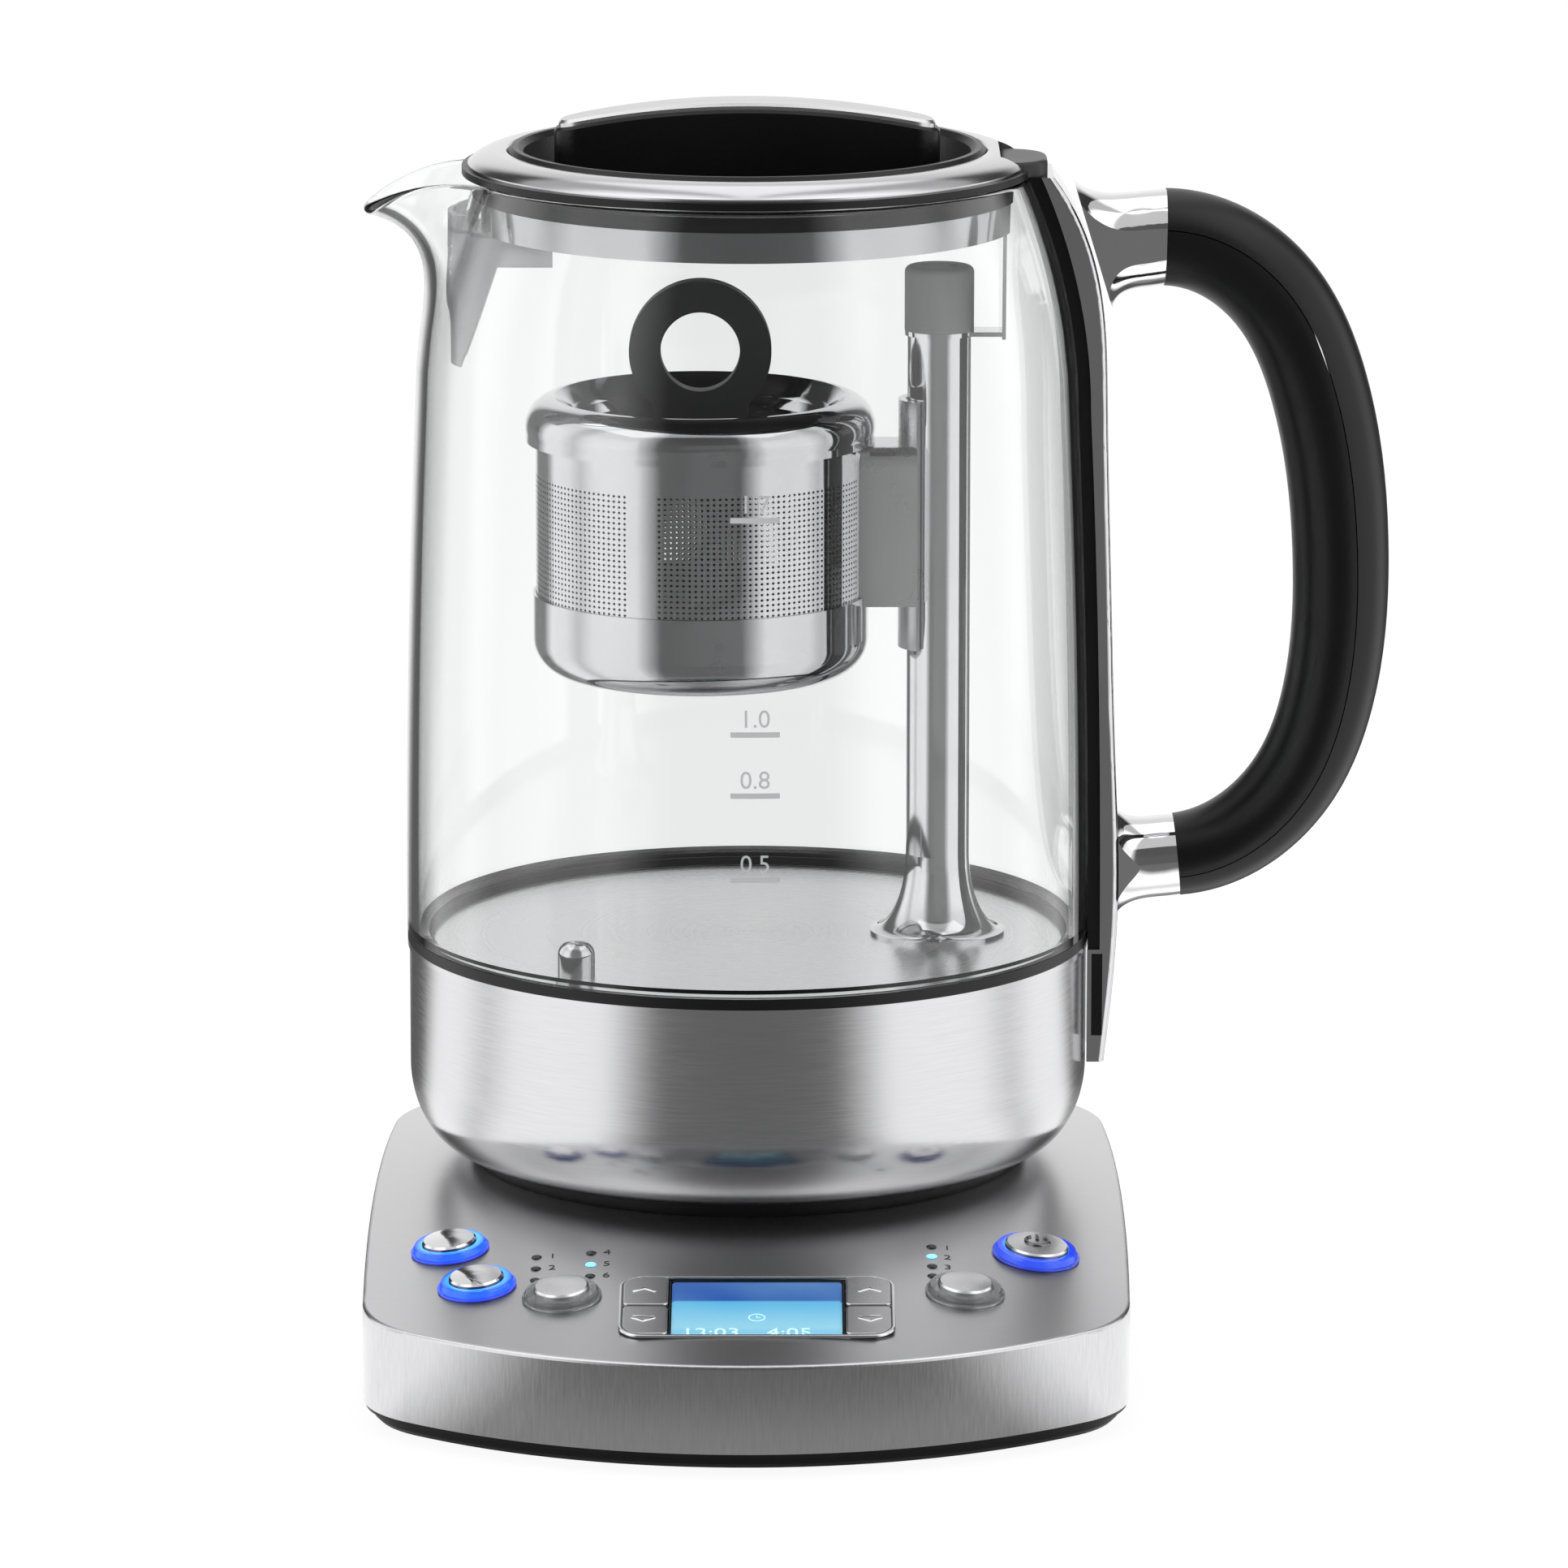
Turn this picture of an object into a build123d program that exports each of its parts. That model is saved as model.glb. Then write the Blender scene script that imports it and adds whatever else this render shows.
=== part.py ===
from build123d import *
import os
from math import asin, atan, cos, degrees, hypot, pi, radians, sin, sqrt

os.makedirs("parts", exist_ok=True)

# An automatic tea maker: a glass jug with a spout and a side handle stands on a power base. Inside
# the jug a covered infuser basket rides up and down on a post, carried by a magnet in the post.
# Millimetres. Z is up from the table, and the origin is on the table under the jug's axis. The spout
# points along -X, the handle along +X, and the controls face -Y.

# For cutting: a length past the whole object, a short reach into a wall, and a step past a face
beyond = 400.0
drill_reach = 5.0
cut_over = 1.0

# Jug, which the lid, the handle, the spout and the post are placed by
jug_radius = 75.0

# Power base
base_width = 165.0
base_front = 137.5
base_back = 86.0
front_radius = 116.5
side_radius = 1800.0
side_widest_y = -42.0
front_corner = 25.0
back_corner = 45.0
seat_z = 36.3
cover_flat_radius = 62.0
cover_slope = 0.16
cover_bottom = 5.2
cover_wall = 1.0
cover_edge = 0.9
tray_bottom = 1.5
tray_wall = 2.2
tray_inset = 2.2
tray_lip = 1.0
tray_upstand = 9.0
foot_radius = 6.0
foot_sink = 0.5
foot_slack = 0.2
foot_edge = 0.4
foot_reach_x = 58.0
foot_front_y = -98.0
foot_back_y = 52.0
seat_radius = 59.5
seat_wall = 2.4
seat_flange = 2.4
seat_lap = 2.0

# Cordless connector
plug_radius = 17.0
plug_height = 10.0
plug_flange = 22.0
plug_slack = 1.0
plug_round = 1.5
plug_groove = 5.0
plug_headroom = 1.0
contact_radius = 7.6
contact_wall = 0.8
contact_sink = 1.0
groove_outer = 2.4
groove_inner = 1.2
centre_pin_radius = 1.6
socket_slack = 0.6
socket_wall = 3.0
socket_roof = 2.6
socket_flange = 3.0
socket_flange_wall = 1.6
prong_outer = 1.6
prong_inner = 0.5
prong_gap = 1.4

# Cord inlet at the rear
inlet_radius = 6.5
inlet_flange = 9.0
inlet_flange_wall = 1.5
inlet_bore = 3.4
inlet_depth = 12.0
inlet_floor = 2.0
inlet_z = 15.0

# Round buttons, each in a clear light ring
ring_radius = 8.5
power_ring_radius = 9.5
ring_rim = 2.5
ring_lip = 0.5
ring_step = 0.5
ring_draft = 0.1
ring_bevel = 0.5
ring_height = 1.9
ring_tail = 3.4
ring_tube = 1.0
ring_lift = 0.08
cap_rise = 0.9
cap_gap = 0.05
cap_lip = 0.6
cap_skirt = 1.2
cap_stem = 2.6
cap_stem_length = 2.2
cap_round = 0.4
cap_dome = 0.4
button_travel = 1.0
button_slack = 0.15
auto_button = (-63.9, -69.3)
warm_button = (-57.4, -91.3)
tea_button = (-39.1, -100.0)
custom_button = (46.5, -96.8)
power_button = (62.2, -72.6)

# Indicator lights, in columns
light_radius = 0.95
light_slack = 0.1
light_sink = 0.25
light_columns = {
    (-45.0, -77.9): 3,
    (-33.3, -77.7): 3,
    (39.7, -73.2): 4,
}
light_pitch = {3: 6.1, 4: 5.2}

# Display and its four setting keys
panel_x = 2.3
panel_y = -107.9
panel_length = 57.6
panel_depth = 29.6
panel_corner = 5.0
panel_slack = 0.2
panel_sink = 0.4
key_width = 10.4
key_gap = 0.4
key_rise = 0.6
key_depth = 5.0
key_corner = 1.2
key_round = 0.4
key_travel = 0.8
key_stem = 1.5
key_stem_length = 2.0
window_rise = 0.3
window_bevel = 0.5
window_wall = 1.8
lcd_wall = 3.0
lcd_ledge = 2.2

# Control board under the top, its posts and their screws
board_z = 15.5
board_wall = 1.6
board_length = 138.0
board_front = 121.0
board_rear = 64.0
board_corner = 20.0
switch_side = 6.0
switch_nub = 1.6
switch_nub_rise = 0.9
switch_gap = 0.1
post_radius = 3.5
post_places = [(-48.0, -66.0), (48.0, -66.0), (-30.0, -116.0), (34.0, -116.0)]
screw_radius = 1.5
screw_slack = 0.05
screw_head = 3.0
screw_head_slack = 0.2
screw_head_wall = 1.8
screw_sink = 0.3
screw_tip_gap = 2.0

# Jug base
cup_bottom = 39.6
cup_lip_radius = jug_radius - 18.0
cup_turn_radius = jug_radius - 11.8
cup_straight_z = 57.6
cup_top = 84.3
cup_wall = 1.0
foot_ring_inner = jug_radius - 21.0
foot_ring_outer = jug_radius - 13.8
foot_ring_draft = 0.8
bottom_wall = 2.4
bottom_drop = 1.2
bottom_slack = 0.2
collar_top = 88.0
collar_radius = jug_radius + 0.4
collar_depth = 6.0
collar_slack = 0.1
seal_wall = 0.7
seal_lip = 1.5
seal_slack = 0.15
floor_z = 86.0
floor_wall = 1.5
floor_radius = jug_radius - 5.4

# Heating and sensing under the jug floor
element_radius = 46.0
element_tube = 3.4
element_gap = 44.0
spreader_wall = 3.0
spreader_inner = 36.0
spreader_outer = 56.0
probe_x = -36.7
probe_y = -43.1
probe_radius = 4.0
probe_dome = 3.4
probe_height = 8.0
probe_stem = 12.0
probe_stem_radius = 2.7
probe_slack = 0.1

# Glass
glass_wall = 2.5
glass_foot_radius = jug_radius - 1.8
glass_foot_z = 82.6
glass_foot_slack = 0.15
glass_step = 0.1
glass_low_radius = jug_radius + 0.5
glass_shoulder_radius = jug_radius - 2.2
glass_shoulder_z = 204.0
glass_bulge = 0.7
shoulder_curve = 125.0
rim_z = 255.8

# Spout
spout_root = jug_radius - 25.0
spout_reach = 33.8
spout_half_width = 22.2
spout_throat = jug_radius - 5.1
spout_inboard = 10.0
spout_lip_z = 240.6
spout_lip_rise = 5.5
spout_lip_run = 16.1
spout_turn = 5.0
spout_droop = 36.0
spout_droop_start = jug_radius - 15.0

# Lid
lid_radius = jug_radius - 12.8
lid_flange_wall = 1.6
lid_ring_outer = lid_radius - 1.3
lid_ring_inner = lid_radius - 10.1
lid_ring_rise = 3.4
lid_ring_edge = 0.6
lid_ring_round = 0.5
lid_ring_crown = 0.7
lid_ring_lean = 1.2
lid_ring_slack = 0.1
lid_lip_z = 261.5
lid_lip_round = 0.8
lid_dish_radius = lid_radius - 13.4
lid_dish_round = 1.2
lid_floor_radius = lid_radius - 16.9
lid_floor_z = 251.0
lid_floor_wall = 2.0
skirt_radius = lid_radius - 4.3
skirt_wall = 0.8
skirt_bottom = 243.8
skirt_flange = 4.0
seal_rise = 0.4
seal_height = 3.0
seal_z = 250.3
notch_depth = 7.3
notch_x = lid_radius - notch_depth
notch_half = 12.7

# Lid grip
grip_bar_length = 84.0
grip_bar_width = 15.4
grip_bar_tip = 12.6
grip_bar_corner = 5.6
grip_bar_top = lid_floor_z + 20.4
grip_bar_arch = 4.6
grip_bar_edge = 0.6
grip_plate_wall = 1.4
grip_plate_inset = 1.0

# Spout strainer
strainer_x = lid_radius - 8.2
strainer_reach = 11.0
strainer_half = 14.0
strainer_wall = 1.2
strainer_top = 247.0
strainer_lap = 5.6
strainer_tip_z = 214.0
strainer_tip_run = 3.0
strainer_taper_run = 6.0
strainer_taper = 8.0
strainer_arm = 12.0
strainer_arm_bottom = 236.5
strainer_hole = 1.0
strainer_pitch = 3.0
strainer_holes_drop = 4.0
strainer_rows = 3
strainer_columns = 5

# Handle spine on the glass; its side view is given as distance past the jug and height
spine_half = 11.6
spine_gap = 0.3
spine_lap = 1.2
spine_side = [(1.8, 232.0), (3.6, 205.0), (4.6, 168.0), (5.7, 131.0), (6.6, 92.0), (5.3, 73.0)]
spine_inboard = 25.0
spine_round = 1.2
strip_wall = 3.0
strip_inset = 0.6
strip_bottom = 84.3
strip_slack = 0.05
tail_bottom = 58.8
tail_rise = 3.7
insert_gap = 0.9
insert_bottom = 64.8
insert_top = 83.3
insert_wall = 2.4
cap_top_z = 259.1
cap_reach = 3.2
cap_outer_x = lid_radius + cap_reach
cap_slack = 0.4
cap_corner = 9.0
cap_edge = 1.0

# Handle grip, whose middle line is given as distance past the jug and height
grip_line = [
    (16.2, 241.3), (31.0, 236.9), (40.0, 229.1), (50.3, 207.7), (55.4, 172.0), (53.0, 139.0),
    (45.9, 120.6), (33.0, 107.8), (19.9, 103.4),
]
grip_thick = 21.2
grip_width = 25.0
grip_low_thick = 18.0
grip_low_width = 23.0
grip_seam = 0.25
grip_seam_shift = 3.0

# Ferrules: share of the way from grip to spine, and how far the flare has grown there
ferrule_flare = [(0.0, 0.0), (0.35, 0.1), (0.6, 0.3), (0.8, 1.2), (0.92, 2.6), (1.0, 4.6)]
ferrule_inset = 0.2
upper_root = (0.6, 239.6)
upper_lean = 17.0
lower_root = (5.6, 102.0)
lower_lean = 0.0

# Post and its drive
post_x = jug_radius - 33.0
pole_radius = 7.0
pole_wall = 0.8
pole_top = 226.0
pole_flare = 15.0
pole_flare_edge = 0.8
pole_flare_height = 18.0
pole_cap_radius = 7.6
pole_cap_bottom = 220.8
pole_cap_top = 235.0
pole_cap_round = 1.4
pole_cap_hole = 1.1
pole_cap_hole_reach = 3.2
pole_cap_hole_depth = 2.5
bearing_depth = 3.0
bearing_slack = 0.08
fit_gap = 0.05
hanger_x = notch_x + 0.5
hanger_wall = 0.8
hanger_half = 8.0
hanger_collar = 1.0
hanger_slack = 0.1
screw_shaft = 2.4
shaft_clearance = 0.6
shaft_bottom = 74.0
shaft_top = 219.0
carriage_slack = 0.1
carriage_inset = 2.0
motor_radius = 12.0
motor_length = 32.0
motor_edge = 1.0

# Infuser basket
basket_radius = jug_radius - 38.8
basket_reach = 16.1
basket_x = post_x - basket_reach - basket_radius
basket_wall_gauge = 0.6
basket_top = 196.6
basket_joint = 158.0
basket_lap = 5.0
basket_lap_gap = 0.1
basket_ledge = 2.0
basket_bottom = 145.0
basket_round = 8.0
basket_hole = 1.1
basket_hole_pitch = 7.3
basket_hole_inset = (29.2, 22.2, 15.2)
bracket_bottom = 161.0
bracket_top = 196.0
bracket_half = 10.0
bracket_wall = 0.8
bracket_round = 4.0
bracket_bite = 4.0
shoe_gap = 0.3
shoe_wall = 1.6
shoe_arc = 110.0
shoe_bottom = 150.6
shoe_top = 205.7

# Basket lid and its ring pull
cover_rim_radius = basket_radius + 2.1
cover_rim_z = 196.8
cover_rim_height = 1.6
cover_rim_depth = 5.0
cover_crown_radius = basket_radius - 4.2
cover_crown_z = 206.4
cover_crown_bulge = (1.6, 2.6)
cover_slope_bulge = (-1.0, -0.4)
cover_under = (-0.6, -2.2)
cover_under_step = 1.0
cover_dish_radius = basket_radius - 10.2
cover_dish_z = 200.0
cover_gauge = 0.6
cover_plug = 4.2
cover_plug_slack = 0.3
cover_plug_lap = 0.5
cover_hole = 1.1
cover_hole_pitch = 6.1
cover_hole_inset = (22.7, 15.7)
pull_radius = 15.6
pull_bore = 8.7
pull_z = 216.2
pull_wall = 5.0
pull_tab = 21.0


def box(low, high):
    """Box between two opposite corners."""
    size = [b - a for a, b in zip(low, high)]
    middle = [(a + b) / 2 for a, b in zip(low, high)]
    return Pos(*middle) * Box(*size)


def layer(bottom, top):
    """All the space between two heights."""
    return box((-beyond, -beyond, bottom), (beyond, beyond, top))


def rod(radius, bottom, top, x=0.0, y=0.0):
    """Upright cylinder between two heights."""
    return Pos(x, y, (bottom + top) / 2) * Cylinder(radius, top - bottom)


def tube(outer, inner, bottom, top, x=0.0, y=0.0):
    """Upright ring or pipe between two heights."""
    return rod(outer, bottom, top, x, y) - rod(inner, bottom, top, x, y)


def turned(*edges, x=0.0):
    """Solid turned about an upright axis from a closed outline of radius and height."""
    profile = Plane.XZ * make_face(edges)
    return Pos(x, 0, 0) * revolve(profile, Axis.Z)


def lathe(*points, x=0.0):
    """Solid turned about an upright axis from corner points of radius and height."""
    return turned(*Polyline(*points, close=True).edges(), x=x)


def slab(outline, bottom, top):
    """Flat outline raised between two heights."""
    return Pos(0, 0, bottom) * extrude(outline, top - bottom)


def side_slab(outline, half):
    """Side view in X and Z made as thick as twice half along Y."""
    return extrude(Plane.XZ * outline, half, both=True)


def save(**solids):
    """Write each named solid to its own file."""
    for name, solid in solids.items():
        export_step(solid if isinstance(solid, Compound) else Compound(children=[solid]),
                    f"parts/{name}.step")


# ---------------------------------------------------------------- power base

def base_outline(inset=0.0):
    """Plan of the base: bowed front and sides with round corners, drawn in by inset."""
    far = 2 * base_width
    bow = Pos(0, front_radius - base_front) * Circle(front_radius - inset)
    rear = Pos(0, far / 2 + front_radius - base_front) * Rectangle(far, far)
    side_shift = side_radius - base_width / 2
    plan = (bow + rear) & Pos(side_shift, side_widest_y) * Circle(side_radius - inset)
    plan &= Pos(-side_shift, side_widest_y) * Circle(side_radius - inset)
    plan &= Pos(0, base_back - inset - far / 2) * Rectangle(far, far)
    corners = plan.vertices().sort_by(Axis.Y)
    plan = fillet(corners[:2], front_corner - inset)
    corners = plan.vertices().group_by(Axis.Y)[-1]
    return fillet(corners, back_corner - inset)


def cover_height(x, y):
    """Height of the cover's sloping top at a point."""
    return seat_z - cover_slope * (hypot(x, y) - cover_flat_radius)


def cone_below(drop=0.0):
    """Body of revolution under the cover's top surface, lowered by drop."""
    reach = base_front + back_corner
    fall = cover_slope * (reach - cover_flat_radius)
    return lathe((0, -fall), (reach, -fall), (reach, seat_z - drop - fall),
                 (cover_flat_radius, seat_z - drop), (0, seat_z - drop))


def surface_frame(x, y, lift=0.0):
    """Plane lying on the cover's top at a point, its normal square to the slope."""
    reach = hypot(x, y)
    normal = Vector(cover_slope * x / reach, cover_slope * y / reach, 1).normalized()
    origin = Vector(x, y, cover_height(x, y)) + normal * lift
    return Plane(origin=origin, x_dir=(1, 0, -normal.X / normal.Z), z_dir=normal)


def panel_frame(lift=0.0):
    """Plane of the display panel, tilted to the front only."""
    tilt = Vector(0, -cover_slope, 1).normalized()
    origin = Vector(panel_x, panel_y, cover_height(0, panel_y)) + tilt * lift
    return Plane(origin=origin, x_dir=(1, 0, 0), z_dir=tilt)


button_places = {
    "auto": (auto_button, ring_radius),
    "warm": (warm_button, ring_radius),
    "tea": (tea_button, ring_radius),
    "custom": (custom_button, ring_radius),
    "power": (power_button, power_ring_radius),
}


def light_places():
    """Points on the cover where an indicator light shows."""
    return [(x, y - light_pitch[count] * i) for (x, y), count in light_columns.items() for i in range(count)]


def cap_radius(outer):
    return outer - ring_rim - button_slack


def button_tool(plane, radius, low, high):
    """Cylinder along a button's axis between two levels over the cover."""
    return plane * Pos(0, 0, (low + high) / 2) * Cylinder(radius, high - low)


def panel_outline(margin=0.0):
    """Rounded outline of the display panel."""
    return RectangleRounded(panel_length + 2 * margin, panel_depth + 2 * margin, panel_corner + margin)


def rear_hole():
    """Space that the cord inlet needs through the rear walls."""
    radius = inlet_radius + panel_slack
    return Pos(0, base_back, inlet_z) * Rot(90, 0, 0) * Cylinder(radius, inlet_depth)


def base_cover():
    """Pressed steel shell with a sloping top and openings for the controls."""
    outside = slab(base_outline(), cover_bottom, seat_z + cut_over) & cone_below()
    brow = outside.edges().filter_by(lambda e: e.center().Z > cover_bottom + cut_over)
    brow = brow.filter_by(lambda e: hypot(e.center().X, e.center().Y) > cover_flat_radius + cut_over)
    outside = fillet(brow, cover_edge)
    inside = slab(base_outline(cover_wall), cover_bottom, seat_z + cut_over) & cone_below(cover_wall)
    shell = outside - inside
    shell -= rod(seat_radius + panel_slack, seat_z - drill_reach, seat_z + drill_reach)
    for (x, y), radius in button_places.values():
        hole = radius - ring_rim + ring_tube + panel_slack
        shell -= button_tool(surface_frame(x, y), hole, -drill_reach, drill_reach)
    for x, y in light_places():
        shell -= button_tool(surface_frame(x, y), light_radius + light_slack, -drill_reach, drill_reach)
    shell -= extrude(panel_frame(-drill_reach) * panel_outline(panel_slack), 2 * drill_reach)
    return shell - rear_hole()


def base_tray():
    """Moulded floor of the base with an upstand, board posts and a boss for the connector."""
    sole = slab(base_outline(tray_inset), tray_bottom, cover_bottom - tray_lip)
    sole = chamfer(sole.faces().sort_by(Axis.Z)[0].edges(), tray_lip)
    lip = slab(base_outline(cover_wall / 2), cover_bottom - tray_lip, cover_bottom)
    upstand = slab(base_outline(cover_wall + panel_slack), cover_bottom, cover_bottom + tray_upstand)
    floor = tray_bottom + tray_wall
    tray = sole + lip + upstand
    tray -= slab(base_outline(cover_wall + panel_slack + tray_wall), floor, cover_bottom + tray_upstand)
    tray += tube(plug_flange, plug_radius, floor, seat_z - seat_wall - tray_wall)
    for x, y in post_places:
        tray += rod(post_radius, floor, board_z - board_wall, x, y)
    for x, y in foot_places():
        tray -= rod(foot_radius + foot_slack, 0, tray_bottom + foot_sink, x, y)
    for x, y in post_places:
        tray -= rod(screw_radius, 0, board_z, x, y)
        tray -= rod(screw_head + screw_head_slack, 0, tray_bottom + screw_head_wall, x, y)
    return tray - rear_hole()


def foot_places():
    return [(x, y) for x in (-foot_reach_x, foot_reach_x) for y in (foot_front_y, foot_back_y)]


def base_feet():
    """Four rubber feet sunk in the tray."""
    foot = rod(foot_radius, 0, tray_bottom + foot_sink)
    foot = chamfer(foot.faces().sort_by(Axis.Z)[0].edges(), foot_edge)
    return Compound(children=[Pos(x, y, 0) * foot for x, y in foot_places()])


def tray_screws():
    """Screws that hold the board's posts from below."""
    low = tray_bottom + screw_sink
    tip = board_z - board_wall - screw_tip_gap
    screws = [rod(screw_head, low, tray_bottom + screw_head_wall, x, y)
              + rod(screw_radius - screw_slack, low, tip, x, y) for x, y in post_places]
    return Compound(children=screws)


def base_seat():
    """Moulded disc that the jug stands on, flush with the cover, with a well for the connector."""
    disc = tube(seat_radius, plug_radius + plug_slack, seat_z - seat_wall, seat_z)
    flange = tube(seat_radius + seat_flange, seat_radius - seat_lap, seat_z - cover_wall - seat_wall,
                  seat_z - cover_wall)
    return disc + flange


def base_connector():
    """Raised round plug of the cordless connector."""
    floor = seat_z - seat_wall
    top = seat_z + plug_height
    plug = rod(plug_radius, floor - tray_wall, top)
    plug = fillet(plug.faces().sort_by(Axis.Z)[-1].edges(), plug_round)
    plug += tube(plug_flange, plug_radius - plug_slack, floor - tray_wall, floor)
    plug -= tube(contact_radius + groove_outer, contact_radius - contact_wall - groove_inner,
                 top - plug_groove, top)
    return plug - rod(centre_pin_radius + groove_inner, top - plug_groove, top)


def contact_pins():
    """Ring contact and centre contact standing in the plug's grooves."""
    top = seat_z + plug_height
    ring = tube(contact_radius, contact_radius - contact_wall, top - plug_groove, top - contact_sink)
    return Compound(children=[ring, rod(centre_pin_radius, top - plug_groove, top - contact_sink)])


def cord_inlet():
    """Bush in the rear wall where the cord enters; the cord itself is left out."""
    flange = Pos(0, 0, (inlet_depth - inlet_flange_wall) / 2) * Cylinder(inlet_flange, inlet_flange_wall)
    bush = Cylinder(inlet_radius, inlet_depth) + flange
    bush -= Pos(0, 0, inlet_floor) * Cylinder(inlet_bore, inlet_depth)
    shift = base_back - inlet_depth / 2 + inlet_flange_wall
    return Pos(0, shift, inlet_z) * Rot(-90, 0, 0) * bush


def light_ring(place, outer):
    """Clear stepped ring round a button, with a tube that drops through the cover."""
    bore = outer - ring_rim
    upper = outer - ring_step
    half = (
        (bore, -ring_tail), (bore + ring_tube, -ring_tail), (bore + ring_tube, ring_lift),
        (outer, ring_lift), (outer, ring_lip), (upper, ring_lip + ring_draft),
        (upper - ring_draft, ring_height - ring_bevel), (upper - ring_bevel, ring_height),
        (bore, ring_height),
    )
    return surface_frame(*place) * lathe(*half)


def light_rings():
    return Compound(children=[light_ring(place, outer) for place, outer in button_places.values()])


def button_cap(place, outer):
    """Domed chrome cap with a retaining skirt below the ring and a stem to its switch."""
    radius = cap_radius(outer)
    top = ring_height + cap_rise
    stop = -ring_tail - cap_gap
    low = stop - cap_skirt
    foot = low - cap_stem_length
    brow = radius - cap_round
    bow = (brow ** 2 + cap_dome ** 2) / (2 * cap_dome)
    cap = turned(
        Line((0, foot), (cap_stem, foot)), Line((cap_stem, foot), (cap_stem, low)),
        Line((cap_stem, low), (radius + cap_lip, low)),
        Line((radius + cap_lip, low), (radius + cap_lip, stop)),
        Line((radius + cap_lip, stop), (radius, stop)), Line((radius, stop), (radius, top - cap_round)),
        Line((radius, top - cap_round), (brow, top)),
        CenterArc((0, top + cap_dome - bow), bow, 90 - degrees(asin(brow / bow)), degrees(asin(brow / bow))),
        Line((0, top + cap_dome), (0, foot)),
    )
    return surface_frame(*place) * cap


def over_board():
    """Space over the control board."""
    return box((-beyond, -beyond, board_z), (beyond, 0, beyond))


def control_board():
    """Printed board below the controls."""
    plan = Pos(0, -(board_front + board_rear) / 2) * Rectangle(board_length, board_front - board_rear)
    plan = chamfer(plan.vertices().sort_by(Axis.Y)[:2], board_corner)
    return slab(plan, board_z - board_wall, board_z)


def key_places():
    """Centres of the four keys in the panel's own axes."""
    reach = (panel_length - key_width) / 2
    step = panel_depth / 4
    return {
        "left_up": (-reach, step),
        "left_down": (-reach, -step),
        "right_up": (reach, step),
        "right_down": (reach, -step),
    }


def push_switch(plane, x, y, level):
    """Switch standing on the board under a stem, its nub's top at a level below the cover."""
    body = Box(switch_side, switch_side, board_z)
    body = plane * Pos(x, y, level - switch_nub_rise - board_z / 2) * body
    nub = plane * Pos(x, y, level - switch_nub_rise / 2) * Cylinder(switch_nub, switch_nub_rise)
    return (body & over_board()) + nub


def board_switches():
    """Nine push switches, one under each button and key."""
    under_cap = -ring_tail - cap_gap - cap_skirt - cap_stem_length - button_travel - switch_gap
    under_key = -key_depth - key_stem_length - key_travel - switch_gap
    switches = [push_switch(surface_frame(x, y), 0, 0, under_cap) for (x, y), _ in button_places.values()]
    switches += [push_switch(panel_frame(), x, y, under_key) for x, y in key_places().values()]
    return Compound(children=switches)


def indicator_lights():
    """Light pipes from the board up to just under the cover's surface."""
    pipes = [button_tool(surface_frame(x, y), light_radius, -seat_z, -light_sink) & over_board()
             for x, y in light_places()]
    return Compound(children=pipes)


def window_length():
    return panel_length - 2 * key_width - 2 * key_gap


def window_depth():
    return panel_depth - 2 * key_gap - 2 * panel_slack


def display_frame():
    """Bezel that fills the panel opening and guides the keys round the display."""
    block = extrude(panel_frame(-seat_z) * panel_outline(), seat_z - panel_sink) & over_board()
    shelf = window_wall + lcd_wall
    sight = Box(window_length() + 2 * panel_slack, window_depth() + 2 * panel_slack, shelf + cut_over)
    block -= panel_frame() * Pos(0, 0, (cut_over - shelf) / 2) * sight
    block -= panel_frame() * Box(window_length() - 2 * lcd_ledge, window_depth() - 2 * lcd_ledge, beyond)
    for x, y in key_places().values():
        block -= panel_frame() * Pos(x, y, 0) * key_blank(panel_slack, -seat_z, drill_reach)
    return block


def key_blank(margin, low, high):
    """Upright block with a key's plan, grown by margin."""
    width = key_width - 2 * key_gap + 2 * margin
    depth = panel_depth / 2 - 2 * key_gap + 2 * margin
    return Pos(0, 0, low) * extrude(RectangleRounded(width, depth, key_corner + margin), high - low)


def setting_key(place):
    """Key cap with one corner rounded to the panel's outline and a stem to its switch."""
    x, y = place
    cap = key_blank(0, -key_depth, key_rise)
    cap = fillet(cap.faces().sort_by(Axis.Z)[-1].edges(), key_round)
    stem = rod(key_stem, -key_depth - key_stem_length, -key_depth)
    key = Pos(x, y, 0) * (cap + stem)
    corner = slab(panel_outline(-key_gap), -seat_z, seat_z)
    return panel_frame() * (key & corner)


def display_window():
    """Clear bevelled window over the display."""
    pane = Box(window_length(), window_depth(), window_wall + window_rise)
    pane = chamfer(pane.faces().sort_by(Axis.Z)[-1].edges(), window_bevel)
    return panel_frame() * Pos(0, 0, (window_rise - window_wall) / 2) * pane


def display_panel():
    """Liquid crystal cell under the window."""
    cell = Box(window_length(), window_depth(), lcd_wall)
    return panel_frame() * Pos(0, 0, -window_wall - lcd_wall / 2) * cell


def build_base():
    save(
        base_tray=base_tray(), base_feet=base_feet(), tray_screws=tray_screws(), base_cover=base_cover(),
        base_seat=base_seat(), base_connector=base_connector(), contact_pins=contact_pins(),
        cord_inlet=cord_inlet(), light_rings=light_rings(), control_board=control_board(),
        board_switches=board_switches(), indicator_lights=indicator_lights(),
        display_frame=display_frame(), display_window=display_window(), display_panel=display_panel(),
    )
    for name, (place, outer) in button_places.items():
        save(**{f"button_{name}": button_cap(place, outer)})
    for name, place in key_places().items():
        save(**{f"key_{name}": setting_key(place)})


# ---------------------------------------------------------------- jug

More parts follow.
